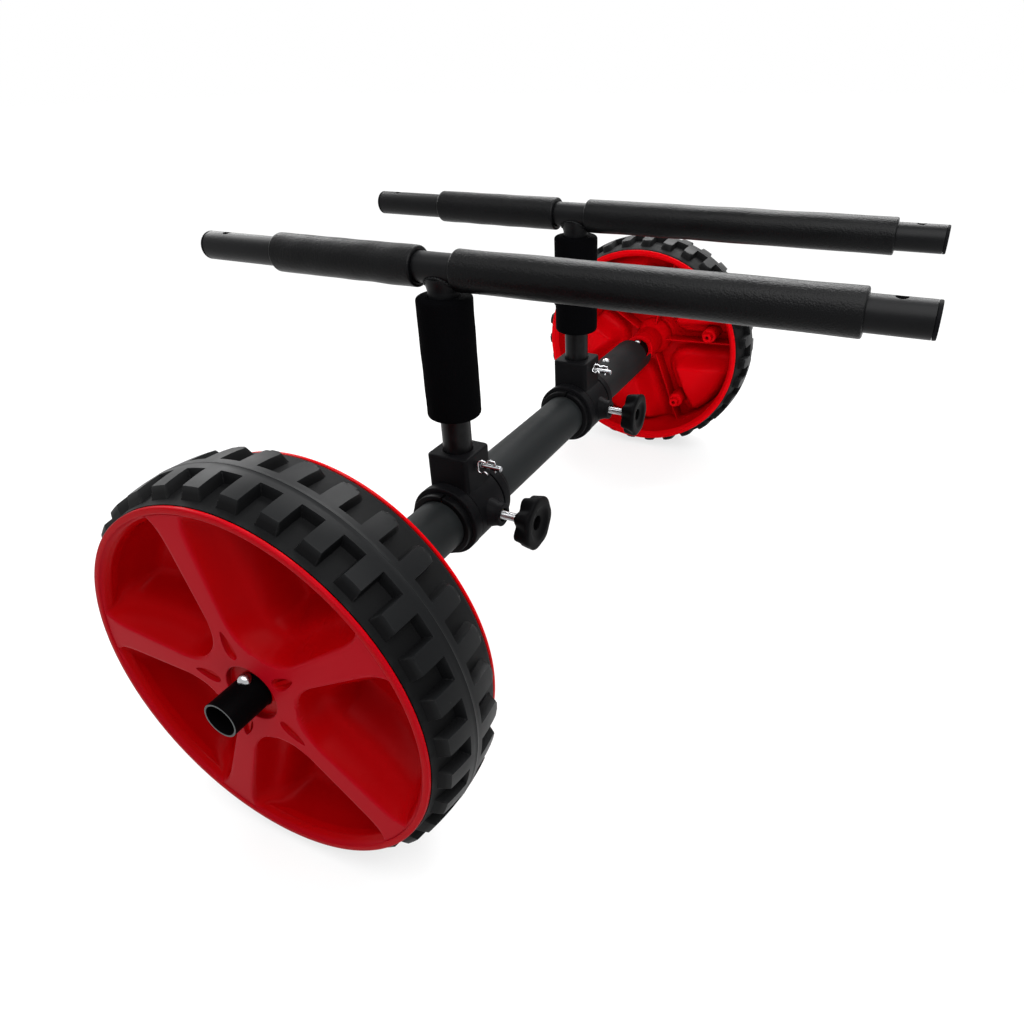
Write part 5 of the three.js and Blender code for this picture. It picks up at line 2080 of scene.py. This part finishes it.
    def build(self) -> None:
        """Makes every piece of the bunk."""
        word, body = self.side.word, f"bunk_{self.side.word}"
        at_axle, at_tube = {"y": self.place}, {"y": self.place, "z": self.height}
        post, bead = self.upright().moved(**at_axle), self.weld().moved(**at_axle)
        fit_piece(f"upright_post_{word}", post, TUBE_COAT, body, [f"upright_tube_{word}"])
        fit_piece(f"weld_bead_{word}", bead, TUBE_COAT, body, [], sharp_degrees=70)
        ends = (self.pad_start, self.pad_end)
        pad = self.foam(self.pad_bore, self.pad_radius, *ends, self.pad_rounding, Along.Z, self.seed)
        pad, node = pad.moved(**at_axle), f"upright_foam_{word}"
        pieces = [fit_piece(f"upright_pad_{word}", pad, UPRIGHT_FOAM, body, [node])]
        start, end = self.back + self.cap + self.cap_gap, self.front - self.cap - self.cap_gap
        tube = tube_shape(self.tube_bore, self.tube_radius, start, end, Along.X, 96, 0.3).moved(**at_tube)
        drill = drill_shape(self.hole_radius, 0, self.tube_radius + DRILL_OVERRUN, Along.Z).moved(**at_tube)
        holes = [drill.moved(x=x) for x in (start + self.hole_inset, end - self.hole_inset)]
        fit_piece(f"cross_tube_{word}", tube, TUBE_COAT, body, [f"bunk_tube_{word}"], drills=holes)
        for role, ends in self.foam_ends.items():
            seed, node = self.seed + len(role), f"bunk_foam_{role}_{word}"
            sleeve = self.foam(self.foam_bore, self.foam_radius, *ends, self.foam_rounding, Along.X, seed)
            sleeve = sleeve.moved(**at_tube)
            pieces.append(fit_piece(f"hull_pad_{role}_{word}", sleeve, BUNK_FOAM, body, [node]))
        for role, place, direction in (("back", self.back, -1), ("front", self.front, 1)):
            cap, node = self.end_cap(place, direction).moved(**at_tube), f"end_cap_{role}_{word}"
            fit_piece(f"tube_cap_{role}_{word}", cap, CLAMP_PLASTIC, body, [node])


# Studio


@dataclass
class Studio:
    """Pale floor, soft lamps and the camera at the photograph's place."""

    azimuth: float = np.radians(25.58)
    elevation: float = np.radians(28.76)
    roll: float = np.radians(-0.951)
    camera_place: Triple = (330.2, -618.1, 343.2)
    focal_pixels: float = 748.1
    principal: tuple[float, float] = (564.6, 476.1)
    picture: float = 1024.0
    sensor: float = 36.0
    sky_light: float = 0.3
    floor_white: float = 0.7
    floor_glow: float = 1.04
    floor_half: float = 14.0
    # Distances in metres between which the floor goes over to white for the camera
    white_start: float = 0.55
    white_end: float = 1.5

    def camera(self) -> None:
        """Sets the camera by its three directions and moves its centre by lens shift."""
        az, el, roll = self.azimuth, self.elevation, self.roll
        ahead = np.array([-np.sin(az) * np.cos(el), np.cos(az) * np.cos(el), -np.sin(el)])
        level = np.array([np.cos(az), np.sin(az), 0.0])
        above = np.cross(level, ahead)
        right, up = np.cos(roll) * level + np.sin(roll) * above, -np.sin(roll) * level + np.cos(roll) * above
        data = bpy.data.cameras.new("camera")
        data.sensor_width = self.sensor
        data.lens = self.focal_pixels / self.picture * self.sensor
        data.shift_x = -(self.principal[0] - self.picture / 2) / self.picture
        data.shift_y = (self.principal[1] - self.picture / 2) / self.picture
        data.clip_start, data.clip_end = 0.02, 50.0
        camera = bpy.data.objects.new("camera", data)
        place = (np.array(self.camera_place) + AXLE_MIDDLE) * MM
        matrix = np.eye(4)
        matrix[:3, 0], matrix[:3, 1], matrix[:3, 2], matrix[:3, 3] = right, up, -ahead, place
        camera.matrix_world = Matrix(matrix.tolist())
        bpy.context.scene.collection.objects.link(camera)
        bpy.context.scene.camera = camera

    def shown(self, sheet: Sheet) -> NodeSocket:
        """Tells what the camera sees straight, in a mirror or through glass.

        Args:
            sheet: the sheet that uses it.

        Returns:
            A socket that is 1 for such rays, else 0.
        """
        seen = sheet.add("ShaderNodeLightPath").outputs
        mirrored_or_through = sheet.maths("MAXIMUM", seen["Is Glossy Ray"], seen["Is Transmission Ray"])
        return sheet.maths("MAXIMUM", seen["Is Camera Ray"], mirrored_or_through)

    def floor(self) -> None:
        """A wide pale floor that shows white to the camera but keeps a soft shadow."""
        half = self.floor_half
        corners = [(-half, -half, 0), (half, -half, 0), (half, half, 0), (-half, half, 0)]
        mesh = bpy.data.meshes.new("floor")
        mesh.from_pydata(corners, [], [(0, 1, 2, 3)])
        floor = bpy.data.objects.new("floor", mesh)
        bpy.context.scene.collection.objects.link(floor)
        material = bpy.data.materials.new("pale_floor")
        material.use_nodes = True
        material.node_tree.nodes.clear()
        sheet = Sheet(material.node_tree)
        where = sheet.add("ShaderNodeTexCoord").outputs["Object"]
        mottle = sheet.noise(where, 3.0, 3.0)
        tone = sheet.blend(mottle, (0.86, 0.86, 0.86, 1), (0.9, 0.9, 0.9, 1))
        matte = sheet.add("ShaderNodeBsdfDiffuse", Color=tone)
        glow = sheet.add("ShaderNodeEmission", Color=(1, 1, 1, 1), Strength=self.floor_glow)
        away = sheet.add("ShaderNodeVectorMath", {"operation": "LENGTH"}, Vector=where).outputs["Value"]
        white = sheet.ramp(away, self.white_start, self.white_end, self.floor_white, 1.0)
        share = sheet.maths("MULTIPLY", self.shown(sheet), white)
        mixed = sheet.add("ShaderNodeMixShader")
        sheet.plug(mixed, 0, share)
        sheet.plug(mixed, 1, matte.outputs[0])
        sheet.plug(mixed, 2, glow.outputs[0])
        sheet.add("ShaderNodeOutputMaterial", Surface=mixed.outputs[0])
        mesh.materials.append(material)

    def world(self) -> None:
        """An even pale sky that is white where the camera or a mirror sees it."""
        world = bpy.data.worlds.new("studio_sky")
        world.use_nodes = True
        world.node_tree.nodes.clear()
        sheet = Sheet(world.node_tree)
        strength = sheet.ramp(self.shown(sheet), 0.0, 1.0, self.sky_light, 1.0)
        sky = sheet.add("ShaderNodeBackground", Color=(1, 1, 1, 1), Strength=strength)
        sheet.add("ShaderNodeOutputWorld", Surface=sky.outputs[0])
        bpy.context.scene.world = world

    def lamp(
        self, name: str, place: Triple, target: Triple, size: tuple[float, float], power: float,
        mirrored: bool = True,
    ) -> None:
        """Aims one soft rectangular lamp at a place.

        Args:
            name: the lamp's name.
            place: where it hangs, in metres.
            target: where it points, in metres.
            size: its two sides in metres.
            power: its power in watts.
            mirrored: whether it shows in glossy surfaces.
        """
        data = bpy.data.lights.new(name, "AREA")
        data.shape = "RECTANGLE"
        data.size, data.size_y = size
        data.energy = power
        lamp = bpy.data.objects.new(name, data)
        lamp.location = place
        lamp.visible_glossy = mirrored
        lamp.rotation_euler = (Vector(target) - Vector(place)).to_track_quat("-Z", "Y").to_euler()
        bpy.context.scene.collection.objects.link(lamp)

    def build(self) -> None:
        """Makes the whole studio."""
        self.floor()
        self.world()
        self.lamp("key", (-0.5, -1.1, 2.0), (0, 0, 0.2), (1.6, 1.0), 12.0)
        self.lamp("back", (0.0, 2.2, 1.7), (0, 0, 0.2), (3.0, 0.7), 58.0)
        self.lamp("top", (-0.3, 1.35, 2.3), (0, 0, 0.2), (1.6, 0.6), 52.0)
        self.lamp("left", (-2.4, 1.0, 1.4), (0, 0, 0.2), (1.6, 1.0), 34.0)
        self.lamp("middle", (0.5, -0.4, 1.1), (0, 0.35, 0.15), (1.2, 0.9), 15.0)
        self.lamp("front", (0.5, -4.0, 1.3), (0, 0, 0.2), (5.0, 2.4), 44.0, mirrored=False)
        self.camera()
        bpy.context.scene.view_settings.view_transform = "Standard"


def main() -> None:
    """Builds the cart's sub-assemblies in order, then the studio."""
    logging.basicConfig(level=logging.INFO, format="%(name)s: %(message)s")
    AxleTube().build()
    bunk_places = {Side.NEAR: (-139.0, 0.0, 11), Side.FAR: (108.0, np.radians(-50.0), 37)}
    for side in Side:
        place, clip_turn, seed = bunk_places[side]
        AxleEnd(side).build()
        Wheel(side).build()
        Clamp(side, place).build()
        Hitch(side, place, clip_turn).build()
        Bunk(side, place, seed).build()
    Studio().build()


if __name__ == "__main__":
    main()
